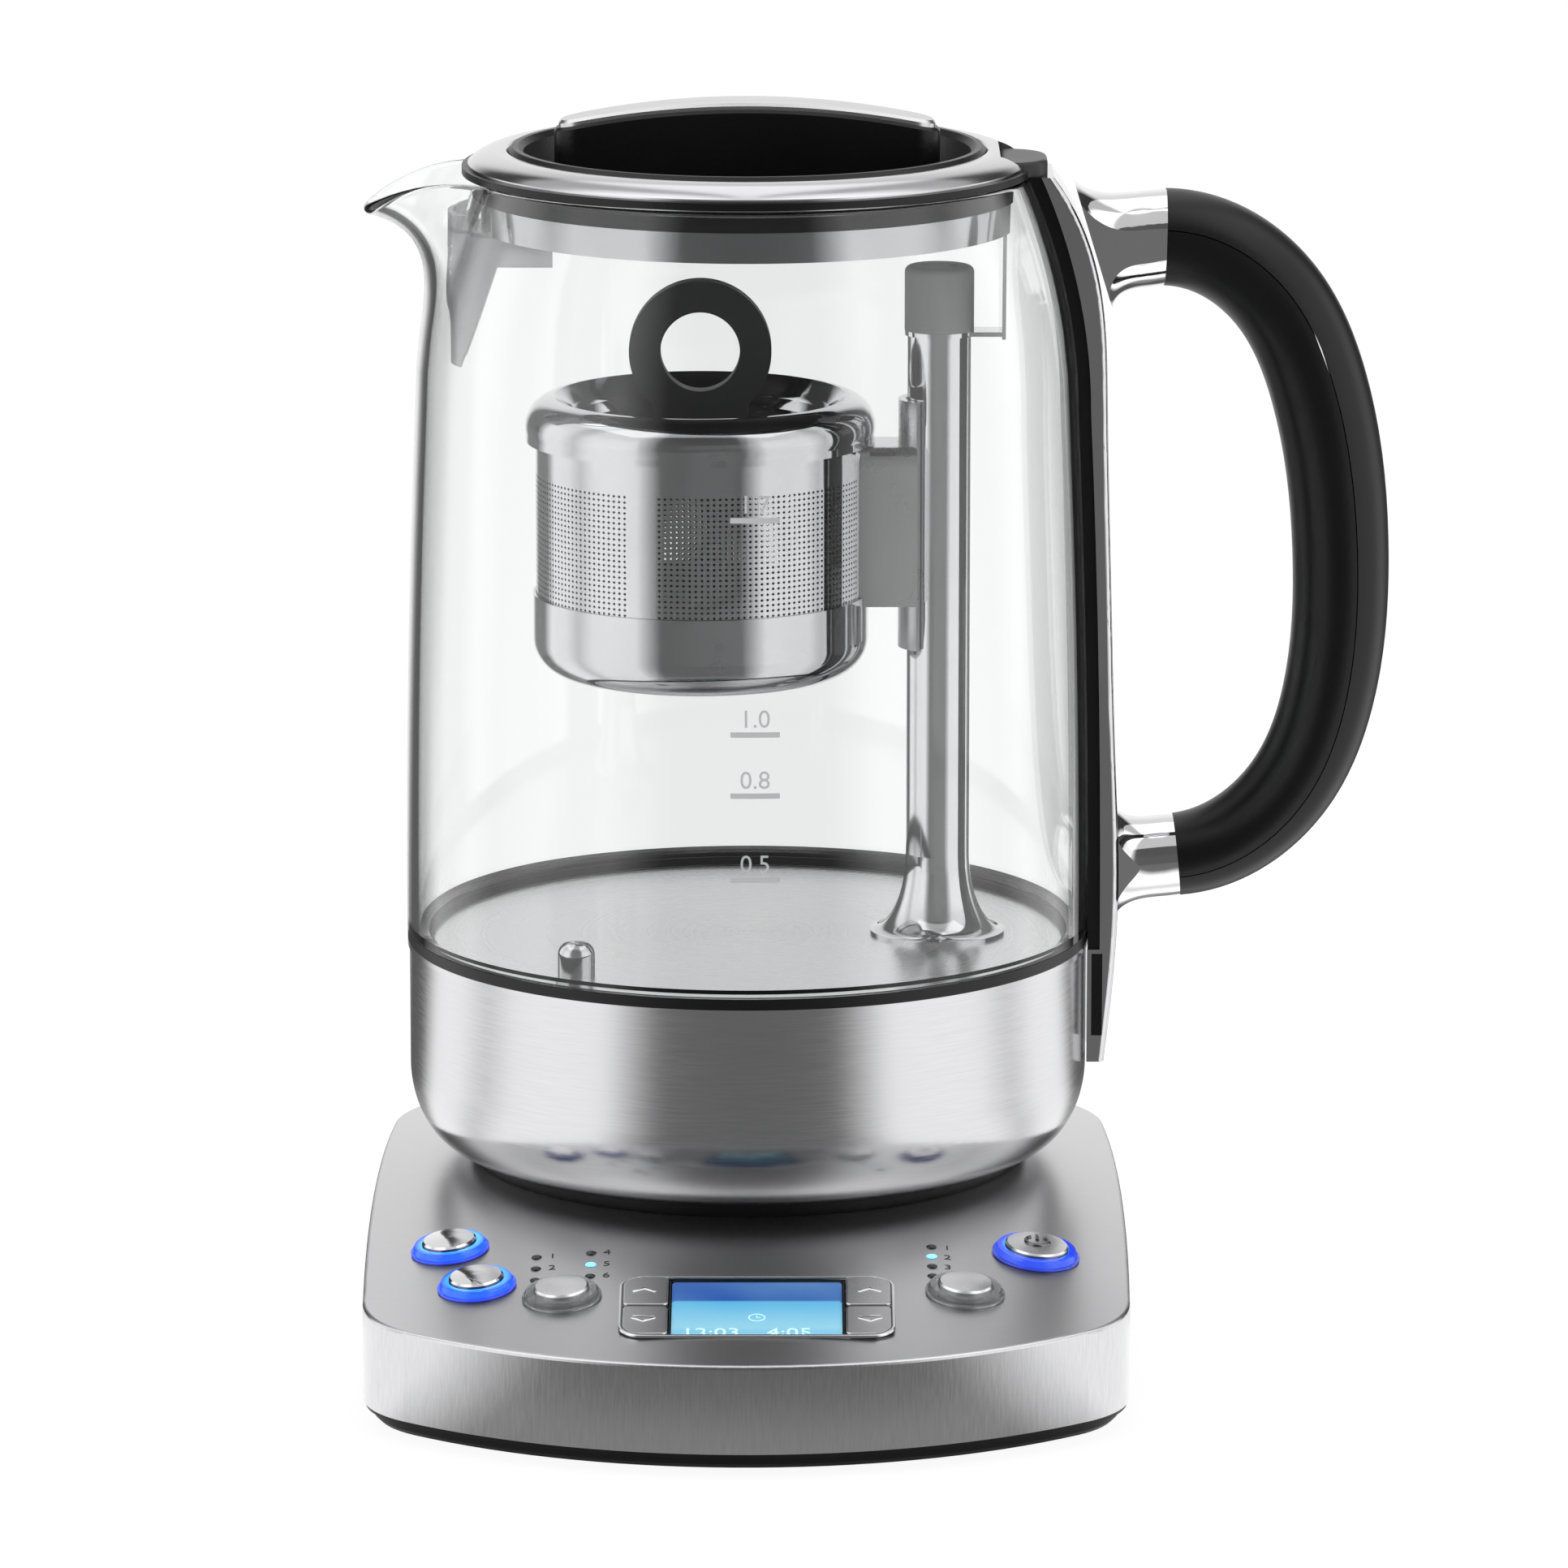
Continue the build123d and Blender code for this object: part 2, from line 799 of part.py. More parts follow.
def cup_form(inset=0.0):
    """Turned form of the steel cup under the glass, drawn in by inset."""
    wide = jug_radius - inset
    low = cup_bottom + inset
    turn = EllipticalCenterArc((cup_turn_radius, cup_straight_z), wide - cup_turn_radius,
                               cup_straight_z - low, start_angle=270, arc_size=90)
    return turned(
        Line((0, low), (cup_turn_radius, low)), turn,
        Line((wide, cup_straight_z), (wide, cup_top)), Line((wide, cup_top), (0, cup_top)),
        Line((0, cup_top), (0, low)),
    )


def jug_cup():
    """Drawn steel cup with an in-turned lip at the bottom."""
    return cup_form() - cup_form(cup_wall) - rod(cup_lip_radius, 0, cup_bottom + drill_reach)


def socket_radius():
    return plug_radius + socket_slack


def jug_bottom():
    """Moulded bottom with a foot ring and a hole for the socket."""
    hole = socket_radius() + socket_wall + fit_gap
    plate = cup_bottom - bottom_drop
    inside = cup_lip_radius - bottom_slack
    return lathe(
        (hole, plate), (foot_ring_inner, plate), (foot_ring_inner + foot_ring_draft, seat_z),
        (foot_ring_outer, seat_z), (cup_turn_radius - 2 * bottom_slack, cup_bottom), (inside, cup_bottom),
        (inside, plate + bottom_wall), (hole, plate + bottom_wall),
    )


def jug_connector():
    """Socket that drops over the base's plug."""
    wide = socket_radius() + socket_wall
    roof = seat_z + plug_height + plug_headroom
    low = cup_bottom - bottom_drop
    ledge = low + bottom_wall
    shell = rod(wide, low, roof + socket_roof) - rod(socket_radius(), low, roof)
    shell += tube(wide + socket_flange, wide - cut_over, ledge, ledge + socket_flange_wall)
    upper = roof - plug_groove + prong_gap
    prong = tube(contact_radius + prong_outer, contact_radius + prong_inner, upper, roof)
    return shell + prong


def glass_form(inset=0.0):
    """Turned form of the glass: a faintly bowed wall and a shoulder that turns in to the rim."""
    rise = rim_z - glass_shoulder_z
    bend = shoulder_curve - inset
    turn_x = glass_shoulder_radius - shoulder_curve
    step = collar_top + glass_step
    foot = glass_foot_radius - inset
    wide = glass_low_radius - inset
    bowed = (glass_low_radius + glass_shoulder_radius) / 2 + glass_bulge - inset
    rim = turn_x + sqrt(bend ** 2 - rise ** 2)
    shoulder = CenterArc((turn_x, glass_shoulder_z), bend, 0, degrees(asin(rise / bend)))
    return turned(
        Line((0, glass_foot_z), (foot, glass_foot_z)), Line((foot, glass_foot_z), (foot, step)),
        Line((foot, step), (wide, step)),
        ThreePointArc((wide, step), (bowed, (step + glass_shoulder_z) / 2),
                      (glass_shoulder_radius - inset, glass_shoulder_z)),
        shoulder, Line((rim, rim_z), (0, rim_z)), Line((0, rim_z), (0, glass_foot_z)),
    )


def spout_form(inset=0.0):
    """Flared spout: an oval plan cut from below by a lip that rises to the tip."""
    top = rim_z + drill_reach
    low = glass_shoulder_z + spout_inboard
    inner = -spout_root + spout_inboard
    throat = spout_throat - inset
    lip = spout_lip_z + inset
    side = make_face(Polyline(
        (inner, low), (-throat, low), (-throat, lip), (-throat - spout_lip_run, lip + spout_lip_rise),
        (-throat - spout_lip_run, top), (inner, top), close=True))
    turn = side.vertices().sort_by_distance((-throat, lip))[0]
    side = fillet(turn, spout_turn)
    oval = Pos(-spout_root, 0) * Ellipse(spout_reach - inset, spout_half_width - inset)
    return side_slab(side, spout_half_width) & slab(oval, low, top)


def spout_droop_cut():
    """Space over the spout's lip, which droops in an arc to the tip."""
    space = box((-beyond, -beyond, rim_z - spout_droop), (-spout_droop_start, beyond, beyond))
    hub = Pos(-spout_droop_start, 0, rim_z - spout_droop) * Rot(90, 0, 0) * Cylinder(spout_droop, 2 * beyond)
    return space - hub


def jug_glass():
    """Blown glass body, open at both ends, with its pouring spout."""
    outside = glass_form() + spout_form()
    inside = glass_form(glass_wall) + spout_form(glass_wall)
    return outside - inside - layer(rim_z, beyond) - spout_droop_cut()


def gasket_radius():
    """Inner radius of the seal under the glass foot."""
    return glass_foot_radius - glass_wall - seal_wall - seal_slack


def jug_collar():
    """Moulded band between cup and glass, with a channel for the glass foot."""
    hole = glass_foot_radius + glass_foot_slack
    fit = jug_radius - cup_wall - collar_slack
    low = cup_top - collar_depth
    ring = tube(collar_radius, hole, cup_top, collar_top)
    ledge = tube(fit, gasket_radius() - glass_foot_slack - collar_slack, low, glass_foot_z - seal_wall)
    return ring + ledge + tube(fit, hole, low, cup_top)


def jug_gasket():
    """Silicone seal under and inside the glass foot."""
    inner = gasket_radius()
    low = glass_foot_z - seal_wall
    pad = tube(glass_foot_radius - collar_slack, inner, low, glass_foot_z)
    return pad + tube(inner + seal_wall, inner, low, floor_z + seal_lip)


def heater_plate():
    """Steel floor of the jug with its thick spreader ring underneath."""
    low = floor_z - floor_wall
    plate = rod(floor_radius, low, floor_z)
    plate += tube(spreader_outer, spreader_inner, low - spreader_wall, low)
    plate -= rod(probe_stem_radius + probe_slack, 0, beyond, probe_x, probe_y)
    plate -= rod(motor_radius + shaft_clearance, 0, low, post_x)
    return plate - rod(screw_shaft + shaft_clearance, 0, beyond, post_x)


def heater_element():
    """Tubular heating element bent in an open ring under the spreader."""
    level = floor_z - floor_wall - spreader_wall - element_tube
    path = Pos(0, 0, level) * CenterArc((0, 0), element_radius, element_gap, 360 - 2 * element_gap)
    start = Plane(origin=path @ 0, z_dir=path % 0)
    return sweep(start * Circle(element_tube), path)


def temperature_probe():
    """Domed sensor that stands up through the jug floor."""
    head = rod(probe_radius, floor_z, floor_z + probe_height, probe_x, probe_y)
    head = fillet(head.faces().sort_by(Axis.Z)[-1].edges(), probe_dome)
    return head + rod(probe_stem_radius, floor_z - probe_stem, floor_z, probe_x, probe_y)


def build_jug():
    save(
        jug_bottom=jug_bottom(), jug_connector=jug_connector(), jug_cup=jug_cup(), jug_collar=jug_collar(),
        jug_gasket=jug_gasket(), jug_glass=jug_glass(), heater_plate=heater_plate(),
        heater_element=heater_element(), temperature_probe=temperature_probe(),
    )


# ---------------------------------------------------------------- handle

def envelope(growth):
    """Jug's outer form under the handle, grown outwards, without the spout."""
    return glass_form(-growth) + rod(glass_low_radius + growth, 0, collar_top + glass_step)


def spine_outline():
    """Side view of the spine's outer edge, from the rim down to the tail's tip."""
    line = [(cap_outer_x + spine_lap, rim_z)] + [(jug_radius + out, z) for out, z in spine_side]
    outer = Spline(*line, (jug_radius + tail_rise, tail_bottom))
    inner_x = jug_radius - spine_inboard
    return make_face([
        outer, Line(outer @ 1, (inner_x, tail_bottom)), Line((inner_x, tail_bottom), (inner_x, rim_z)),
        Line((inner_x, rim_z), outer @ 0),
    ])


def spine_blank(half):
    return side_slab(spine_outline(), half)


def tail_insert():
    """Black block let into the spine's tail."""
    inner_x = jug_radius + insert_gap
    return box((inner_x, -spine_half, insert_bottom), (inner_x + insert_wall, spine_half, insert_top))


def spine_strip():
    """Black strip between spine and glass, with a black insert set in the tail."""
    strip = spine_blank(spine_half - strip_inset) & layer(strip_bottom, rim_z)
    strip = (strip & envelope(strip_wall)) - envelope(spine_gap)
    return Compound(children=[strip, tail_insert()])


def handle_spine():
    """Chromed spine that carries the grip, with a tail that laps the cup."""
    spine = spine_blank(spine_half)
    rim = spine.edges().filter_by(lambda e: e.length > rim_z / 2 and e.center().X > jug_radius)
    spine = fillet(rim, spine_round) - envelope(spine_gap)
    spine -= layer(strip_bottom - strip_slack, beyond) & envelope(strip_wall + strip_slack)
    return spine - tail_insert()


def handle_top_cap():
    """Cap over the spine at the rim, filling the lid's notch."""
    half = notch_half - cap_slack
    block = box((notch_x + cap_slack, -half, rim_z), (cap_outer_x, half, cap_top_z))
    block = fillet(block.edges().filter_by(Axis.Z).sort_by(Axis.X)[-2:], cap_corner)
    return fillet(block.faces().sort_by(Axis.Z)[-1].edges(), cap_edge)


def grip_path():
    """Middle line of the grip from the upper ferrule to the lower one."""
    return Plane.XZ * Spline(*[(jug_radius + out, z) for out, z in grip_line])


def grip_section(side, width, thick):
    """Part of the grip's oval section on one side of the seam."""
    seam = grip_seam_shift + side * grip_seam / 2
    turn = degrees(asin(seam / (thick / 2)))
    start = turn if side > 0 else 180 - turn
    arc = EllipticalCenterArc((0, 0), width / 2, thick / 2, start_angle=start, arc_size=180 - side * 2 * turn)
    return make_face([*arc.edges(), Line(arc @ 1, arc @ 0)])


def grip_part(side):
    """One moulded part of the grip, tapered along its lower half."""
    path = grip_path()
    size = [(0, grip_width, grip_thick), (0.5, grip_width, grip_thick), (1, grip_low_width, grip_low_thick)]
    sections = []
    for share, width, thick in size:
        plane = Plane(origin=path @ share, x_dir=(0, 1, 0), z_dir=path % share)
        sections.append(plane * grip_section(side, width, thick))
    return sweep(sections, path, multisection=True)


def ferrule(share, root, lean, width, thick):
    """Chromed sleeve from one end of the grip to its flared root on the spine."""
    end = grip_path() @ share
    way = grip_path() % share
    start = atan(way.Z / way.X)
    sections = []
    for along, growth in ferrule_flare:
        x = end.X + (jug_radius + root[0] - end.X) * along
        z = end.Z + (root[1] - end.Z) * along
        tilt = start + (radians(lean) - start) * along
        plane = Plane(origin=(x, 0, z), x_dir=(0, 1, 0), z_dir=(cos(tilt), 0, sin(tilt)))
        outline = Ellipse(width / 2 - ferrule_inset + growth, thick / 2 - ferrule_inset + growth)
        sections.append(plane * outline)
    sleeve = loft(sections) & box((0, -spine_half, 0), (beyond, spine_half, beyond))
    return sleeve - spine_blank(beyond)


def build_handle():
    save(
        handle_spine=handle_spine(), spine_strip=spine_strip(), handle_top_cap=handle_top_cap(),
        grip_outer=grip_part(1), grip_inner=grip_part(-1),
        upper_ferrule=ferrule(0, upper_root, upper_lean, grip_width, grip_thick),
        lower_ferrule=ferrule(1, lower_root, lower_lean, grip_low_width, grip_low_thick),
    )


# ---------------------------------------------------------------- post and drive

def pole_bore():
    return pole_radius - pole_wall


def pole_tube():
    """Steel post with a flared foot welded to the jug floor."""
    flare_top = floor_z + pole_flare_height
    edge_z = floor_z + pole_flare_edge
    foot = turned(
        Line((0, floor_z), (pole_flare, floor_z)), Line((pole_flare, floor_z), (pole_flare, edge_z)),
        EllipticalCenterArc((pole_flare, flare_top), pole_flare - pole_radius,
                            pole_flare_height - pole_flare_edge, start_angle=270, arc_size=-90),
        Line((pole_radius, flare_top), (0, flare_top)), Line((0, flare_top), (0, floor_z)),
        x=post_x,
    )
    return foot + rod(pole_radius, floor_z, pole_top, post_x) - rod(pole_bore(), 0, beyond, post_x)


def pole_cap():
    """Silicone cap over the post's top, with a bearing plug for the screw and two holes."""
    cap = rod(pole_cap_radius, pole_cap_bottom, pole_cap_top, post_x)
    cap = fillet(cap.faces().sort_by(Axis.Z)[-1].edges(), pole_cap_round)
    cap += rod(pole_bore() - 2 * fit_gap, pole_cap_bottom - bearing_depth, pole_cap_bottom, post_x)
    cap -= tube(pole_radius + fit_gap, pole_bore() - 2 * fit_gap, pole_cap_bottom, pole_top, post_x)
    cap -= rod(screw_shaft + bearing_slack, 0, pole_cap_bottom + bearing_depth, post_x)
    hole_bottom = pole_cap_top - pole_cap_hole_depth
    for side in (-1, 1):
        cap -= rod(pole_cap_hole, hole_bottom, beyond, post_x + side * pole_cap_hole_reach)
    return cap


def pole_hanger():
    """Thin steel hanger from the rim clamp down to a collar round the post."""
    foot_z = pole_cap_bottom - hanger_collar
    outer_x = hanger_x + hanger_wall
    strap = box((hanger_x, -hanger_half, foot_z), (outer_x, hanger_half, rim_z))
    leg = box((post_x, -hanger_half / 2, foot_z), (outer_x, hanger_half / 2, pole_cap_bottom))
    collar = rod(pole_cap_radius, foot_z, pole_cap_bottom, post_x)
    return strap + leg + collar - rod(pole_radius + hanger_slack, 0, beyond, post_x)


def lift_motor():
    """Gear motor under the floor that turns the screw."""
    top = floor_z - floor_wall
    body = rod(motor_radius, top - motor_length, top, post_x)
    body = chamfer(body.faces().sort_by(Axis.Z)[0].edges(), motor_edge)
    return body - rod(screw_shaft + bearing_slack, shaft_bottom, top, post_x)


def lead_screw():
    """Screw shaft inside the post."""
    return rod(screw_shaft, shaft_bottom, shaft_top, post_x)


def magnet_carriage():
    """Magnet nut that climbs the screw and pulls the basket's shoe along."""
    return tube(pole_bore() - carriage_slack, screw_shaft + carriage_slack, shoe_bottom + carriage_inset,
                shoe_top - carriage_inset, post_x)


def build_drive():
    save(
        pole_tube=pole_tube(), pole_cap=pole_cap(), pole_hanger=pole_hanger(), lift_motor=lift_motor(),
        lead_screw=lead_screw(), magnet_carriage=magnet_carriage(),
    )


# ---------------------------------------------------------------- infuser

def ring_of_holes(radius, hole, pitch, level):
    """Drills for one ring of holes round the basket's axis, through a sheet at a level."""
    count = int(2 * pi * radius / pitch)
    drill = rod(hole, level - cut_over, level + cut_over, radius)
    return [Pos(basket_x, 0, 0) * Rot(0, 0, 360 * i / count) * drill for i in range(count)]


def basket_wall():
    """Mesh wall of the basket."""
    return tube(basket_radius, basket_radius - basket_wall_gauge, basket_joint, basket_top, basket_x)


def basket_cup():
    """Rounded bottom of the basket with a drilled floor, lapped over the wall."""
    gauge = basket_wall_gauge
    outer = basket_radius + gauge + basket_lap_gap
    form = [rod(outer - inset, basket_bottom + inset, basket_joint + basket_lap, basket_x)
            for inset in (0, gauge)]
    form[0] = fillet(form[0].faces().sort_by(Axis.Z)[0].edges(), basket_round)
    form[1] = fillet(form[1].faces().sort_by(Axis.Z)[0].edges(), basket_round - gauge)
    cup = form[0] - form[1]
    cup += tube(outer - gauge / 2, basket_radius - basket_ledge, basket_joint - gauge, basket_joint, basket_x)
    for inset in basket_hole_inset:
        for drill in ring_of_holes(basket_radius - inset, basket_hole, basket_hole_pitch, basket_bottom):
            cup -= drill
    return cup


def basket_bracket():
    """Folded steel bracket from the basket to its sliding shoe, open below."""
    shoe_radius = pole_radius + shoe_gap + shoe_wall
    reach = post_x - shoe_radius
    block = box((basket_x + basket_radius - bracket_bite, -bracket_half, bracket_bottom),
                (reach + bracket_bite, bracket_half, bracket_top))
    block = fillet(block.edges().filter_by(Axis.X).sort_by(Axis.Z)[-2:], bracket_round)
    inner = bracket_half - bracket_wall
    block -= box((basket_x + basket_radius + bracket_wall, -inner, 0),
                 (reach - bracket_wall, inner, bracket_top - bracket_wall))
    block -= rod(basket_radius + fit_gap, 0, beyond, basket_x)
    lap = basket_radius + basket_wall_gauge + basket_lap_gap + fit_gap
    block -= rod(lap, 0, basket_joint + basket_lap + fit_gap, basket_x)
    return block - rod(shoe_radius + fit_gap, 0, beyond, post_x)


def basket_shoe():
    """Curved shoe that hugs the post and follows the magnet inside it."""
    inner = pole_radius + shoe_gap
    sleeve = tube(inner + shoe_wall, inner, shoe_bottom, shoe_top, post_x)
    reach = 3 * pole_radius
    half = radians(shoe_arc / 2)
    wedge = make_face(Polyline((post_x, 0), (post_x - reach * cos(half), reach * sin(half)),
                               (post_x - 2 * reach, 0), (post_x - reach * cos(half), -reach * sin(half)),
                               close=True))
    return sleeve & slab(wedge, shoe_bottom, shoe_top)


def shifted(first, second, shift):
    """Middle of two outline points, moved by a shift."""
    return ((first[0] + second[0]) / 2 + shift[0], (first[1] + second[1]) / 2 + shift[1])


def basket_lid():
    """Spun basket lid: rolled rim, high crown and drilled dish, with a short plug into the basket."""
    dish = (cover_dish_radius, cover_dish_z)
    crown = (cover_crown_radius, cover_crown_z)
    brim = (cover_rim_radius, cover_rim_z + cover_rim_height)
    heel = (cover_rim_radius - cover_rim_depth, cover_rim_z)
    under = (cover_crown_radius + cover_under[0], cover_crown_z + cover_under[1])
    floor = (cover_dish_radius + cover_under_step, cover_dish_z - cover_gauge)
    lid = turned(
        Line((0, cover_dish_z), dish),
        ThreePointArc(dish, shifted(dish, crown, cover_slope_bulge), crown),
        ThreePointArc(crown, shifted(crown, (cover_rim_radius, cover_rim_z), cover_crown_bulge), brim),
        Line(brim, (cover_rim_radius, cover_rim_z)), Line((cover_rim_radius, cover_rim_z), heel),
        ThreePointArc(heel, under, floor), Line(floor, (0, cover_dish_z - cover_gauge)),
        Line((0, cover_dish_z - cover_gauge), (0, cover_dish_z)),
        x=basket_x,
    )
    plug = basket_radius - basket_wall_gauge - cover_plug_slack
    lid += tube(plug, plug - cover_gauge, cover_rim_z - cover_plug, cover_rim_z + cover_plug_lap, basket_x)
    for inset in cover_hole_inset:
        for drill in ring_of_holes(basket_radius - inset, cover_hole, cover_hole_pitch, cover_dish_z):
            lid -= drill
    return lid


def ring_pull():
    """Finger ring that stands on the basket lid."""
    plane = Plane(origin=(basket_x, 0, pull_z), x_dir=(1, 0, 0), z_dir=(0, -1, 0))
    stem = Pos(0, (cover_dish_z - pull_z) / 2) * Rectangle(pull_tab, pull_z - cover_dish_z)
    ring = Circle(pull_radius) + stem
    ring -= Circle(pull_bore)
    return extrude(plane * ring, pull_wall / 2, both=True) & layer(cover_dish_z, beyond)


def build_infuser():
    save(
        basket_wall=basket_wall(), basket_cup=basket_cup(), basket_bracket=basket_bracket(),
        basket_shoe=basket_shoe(), basket_lid=basket_lid(), ring_pull=ring_pull(),
    )


# ---------------------------------------------------------------- lid

def lid_notch():
    """Space at the handle side that the lid leaves to the handle's cap."""
    return box((notch_x, -notch_half, 0), (beyond, notch_half, beyond))


def lid_dish():
    """Moulded lid body: resting flange, raised lip and a sunk floor."""
    flange_top = rim_z + lid_flange_wall
    lip = lid_ring_inner - lid_ring_slack
    under = lid_floor_z - lid_floor_wall
    body = lathe(
        (0, under), (lid_floor_radius + lid_floor_wall, under), (lip - lid_flange_wall, rim_z),
        (lid_radius, rim_z), (lid_radius, flange_top), (lip, flange_top), (lip, lid_lip_z - lid_lip_round),
        (lip - lid_lip_round, lid_lip_z), (lid_dish_radius + lid_dish_round, lid_lip_z),
        (lid_dish_radius, lid_lip_z - lid_dish_round),
        (lid_floor_radius + lid_dish_round, lid_floor_z + lid_dish_round), (lid_floor_radius, lid_floor_z),
        (0, lid_floor_z),
    )
    return body - lid_notch()


def lid_ring():
    """Convex chrome ring on the lid's flange."""
    low = rim_z + lid_flange_wall
    top = low + lid_ring_rise
    edge = (lid_ring_outer, low + lid_ring_edge)
    crest = (lid_ring_inner + lid_ring_round, top)
    bulge = ((lid_ring_outer + lid_ring_inner) / 2 + lid_ring_lean, top - lid_ring_crown)
    inner = (lid_ring_inner, top - lid_ring_round)
    ring = turned(
        Line((lid_ring_inner, low), (lid_ring_outer, low)), Line((lid_ring_outer, low), edge),
        ThreePointArc(edge, bulge, crest), Line(crest, inner), Line(inner, (lid_ring_inner, low)),
    )
    return ring - lid_notch()


def lid_skirt():
    """Steel skirt hanging from the lid into the jug's neck."""
    wall = tube(skirt_radius, skirt_radius - skirt_wall, skirt_bottom, rim_z)
    wall += tube(skirt_radius, skirt_radius - skirt_flange, rim_z - skirt_wall, rim_z)
    return wall - lid_notch()


def lid_seal():
    """Silicone seal round the skirt."""
    return tube(skirt_radius + seal_rise, skirt_radius, seal_z, seal_z + seal_height) - lid_notch()


def grip_bar_plan(inset=0.0):
    """Long oval plan of the lid's grip, drawn in by inset."""
    width = grip_bar_width - 2 * inset
    length = grip_bar_length - 2 * inset
    sag = (grip_bar_width - grip_bar_tip) / 2
    bow = ((length / 2) ** 2 + sag ** 2) / (2 * sag)
    shift = bow - width / 2
    leaf = (Pos(0, shift) * Circle(bow)) & (Pos(0, -shift) * Circle(bow))
    leaf &= Rectangle(length, width)
    return fillet(leaf.vertices(), grip_bar_corner - inset)


def arch_below(drop=0.0):
    """Everything under the grip's arched top, lowered by drop."""
    bow = ((grip_bar_length / 2) ** 2 + grip_bar_arch ** 2) / (2 * grip_bar_arch)
    hub = Pos(0, 0, grip_bar_top - bow) * Rot(90, 0, 0) * Cylinder(bow - drop, beyond)
    return hub & layer(lid_floor_z, beyond)


def lid_grip():
    """Moulded bar across the dish."""
    bar = slab(grip_bar_plan(), lid_floor_z, grip_bar_top) & arch_below(grip_plate_wall)
    return chamfer(bar.faces().sort_by(Axis.Z)[-1].edges(), grip_bar_edge)


def lid_grip_plate():
    """Brushed steel plate over the bar."""
    blank = slab(grip_bar_plan(grip_plate_inset), lid_floor_z, grip_bar_top + cut_over)
    plate = (blank & arch_below()) - arch_below(grip_plate_wall)
    return chamfer(plate.faces().sort_by(Axis.Z)[-1].edges(), grip_bar_edge)


def strainer_plan(inset=0.0):
    """Plan of the strainer: half an oval towards the spout and two arms under the lid."""
    half = strainer_half - inset
    nose = Pos(-strainer_x, 0) * Ellipse(strainer_reach - inset, half)
    nose &= Pos(-strainer_x - beyond / 2, 0) * Rectangle(beyond, beyond)
    return nose + Pos(strainer_arm / 2 - strainer_x, 0) * Rectangle(strainer_arm, 2 * half)


def strainer():
    """Strainer that hangs from the lid behind the spout: an oval shield that narrows to a tip."""
    wall = slab(strainer_plan(), strainer_tip_z, strainer_top) - slab(strainer_plan(strainer_wall), 0, beyond)
    nose_x = -strainer_x - strainer_reach
    arm_x = strainer_arm - strainer_x
    side = make_face(Polyline(
        (nose_x - cut_over, strainer_top), (-strainer_x - strainer_lap, strainer_top),
        (-strainer_x - strainer_lap, skirt_bottom), (arm_x, skirt_bottom), (arm_x, strainer_arm_bottom),
        (-strainer_x, strainer_arm_bottom), (nose_x + strainer_taper_run, strainer_tip_z + strainer_taper),
        (nose_x + strainer_tip_run, strainer_tip_z), (nose_x - cut_over, strainer_tip_z), close=True))
    shield = wall & side_slab(side, strainer_half)
    shield += slab(strainer_plan(), skirt_bottom - strainer_wall, skirt_bottom)
    for row in range(strainer_rows):
        for column in range(strainer_columns):
            y = (column - (strainer_columns - 1) / 2) * strainer_pitch
            z = skirt_bottom - strainer_holes_drop - row * strainer_pitch
            shield -= Pos(nose_x, y, z) * Rot(0, 90, 0) * Cylinder(strainer_hole, strainer_half / 2)
    return shield


def build_lid():
    save(
        lid_dish=lid_dish(), lid_ring=lid_ring(), lid_skirt=lid_skirt(), lid_seal=lid_seal(),
        lid_grip=lid_grip(), lid_grip_plate=lid_grip_plate(), spout_strainer=strainer(),
    )


build_base()
build_jug()
build_handle()
build_drive()
build_infuser()
build_lid()
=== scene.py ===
import math

import bpy
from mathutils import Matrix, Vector


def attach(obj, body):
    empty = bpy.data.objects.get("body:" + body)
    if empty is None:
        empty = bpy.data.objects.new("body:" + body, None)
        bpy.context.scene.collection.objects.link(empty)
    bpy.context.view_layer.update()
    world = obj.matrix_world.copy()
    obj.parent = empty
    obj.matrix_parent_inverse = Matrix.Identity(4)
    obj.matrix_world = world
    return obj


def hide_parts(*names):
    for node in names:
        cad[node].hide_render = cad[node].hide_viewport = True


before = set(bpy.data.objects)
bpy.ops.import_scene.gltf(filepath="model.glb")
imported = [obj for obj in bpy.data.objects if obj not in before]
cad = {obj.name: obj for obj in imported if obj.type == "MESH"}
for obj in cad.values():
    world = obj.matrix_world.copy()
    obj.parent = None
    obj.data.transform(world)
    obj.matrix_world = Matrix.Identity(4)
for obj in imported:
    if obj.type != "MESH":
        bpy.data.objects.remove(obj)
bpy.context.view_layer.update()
mm = 0.001
print("loaded the frame:", len(cad), "nodes")


# helpers that select, name and finish pieces

def deselectAll():
    if bpy.context.mode != "OBJECT":
        bpy.ops.object.mode_set(mode="OBJECT")
    bpy.ops.object.select_all(action="DESELECT")


def focus(piece):
    deselectAll()
    piece.select_set(True)
    bpy.context.view_layer.objects.active = piece


def nameNew(name):
    piece = bpy.context.object
    piece.name = name
    piece.data.name = name
    return piece


def pick(piece, kind, test):
    # leaves edit mode, marks the faces, edges or vertices that pass, and goes back in
    bpy.ops.object.mode_set(mode="EDIT")
    bpy.ops.mesh.select_mode(type=kind)
    bpy.ops.mesh.select_all(action="DESELECT")
    bpy.ops.object.mode_set(mode="OBJECT")
    items = {"VERT": piece.data.vertices, "EDGE": piece.data.edges, "FACE": piece.data.polygons}[kind]
    for item in items:
        item.select = bool(test(item))
    bpy.ops.object.mode_set(mode="EDIT")


def leaveEdit():
    bpy.ops.object.mode_set(mode="OBJECT")


def edgeEnds(piece, edge):
    return [piece.data.vertices[i].co for i in edge.vertices]


def edgeSpan(piece, edge, axis):
    # how far an edge runs along the X, Y or Z axis
    first, last = edgeEnds(piece, edge)
    return abs((first - last)["XYZ".index(axis)])


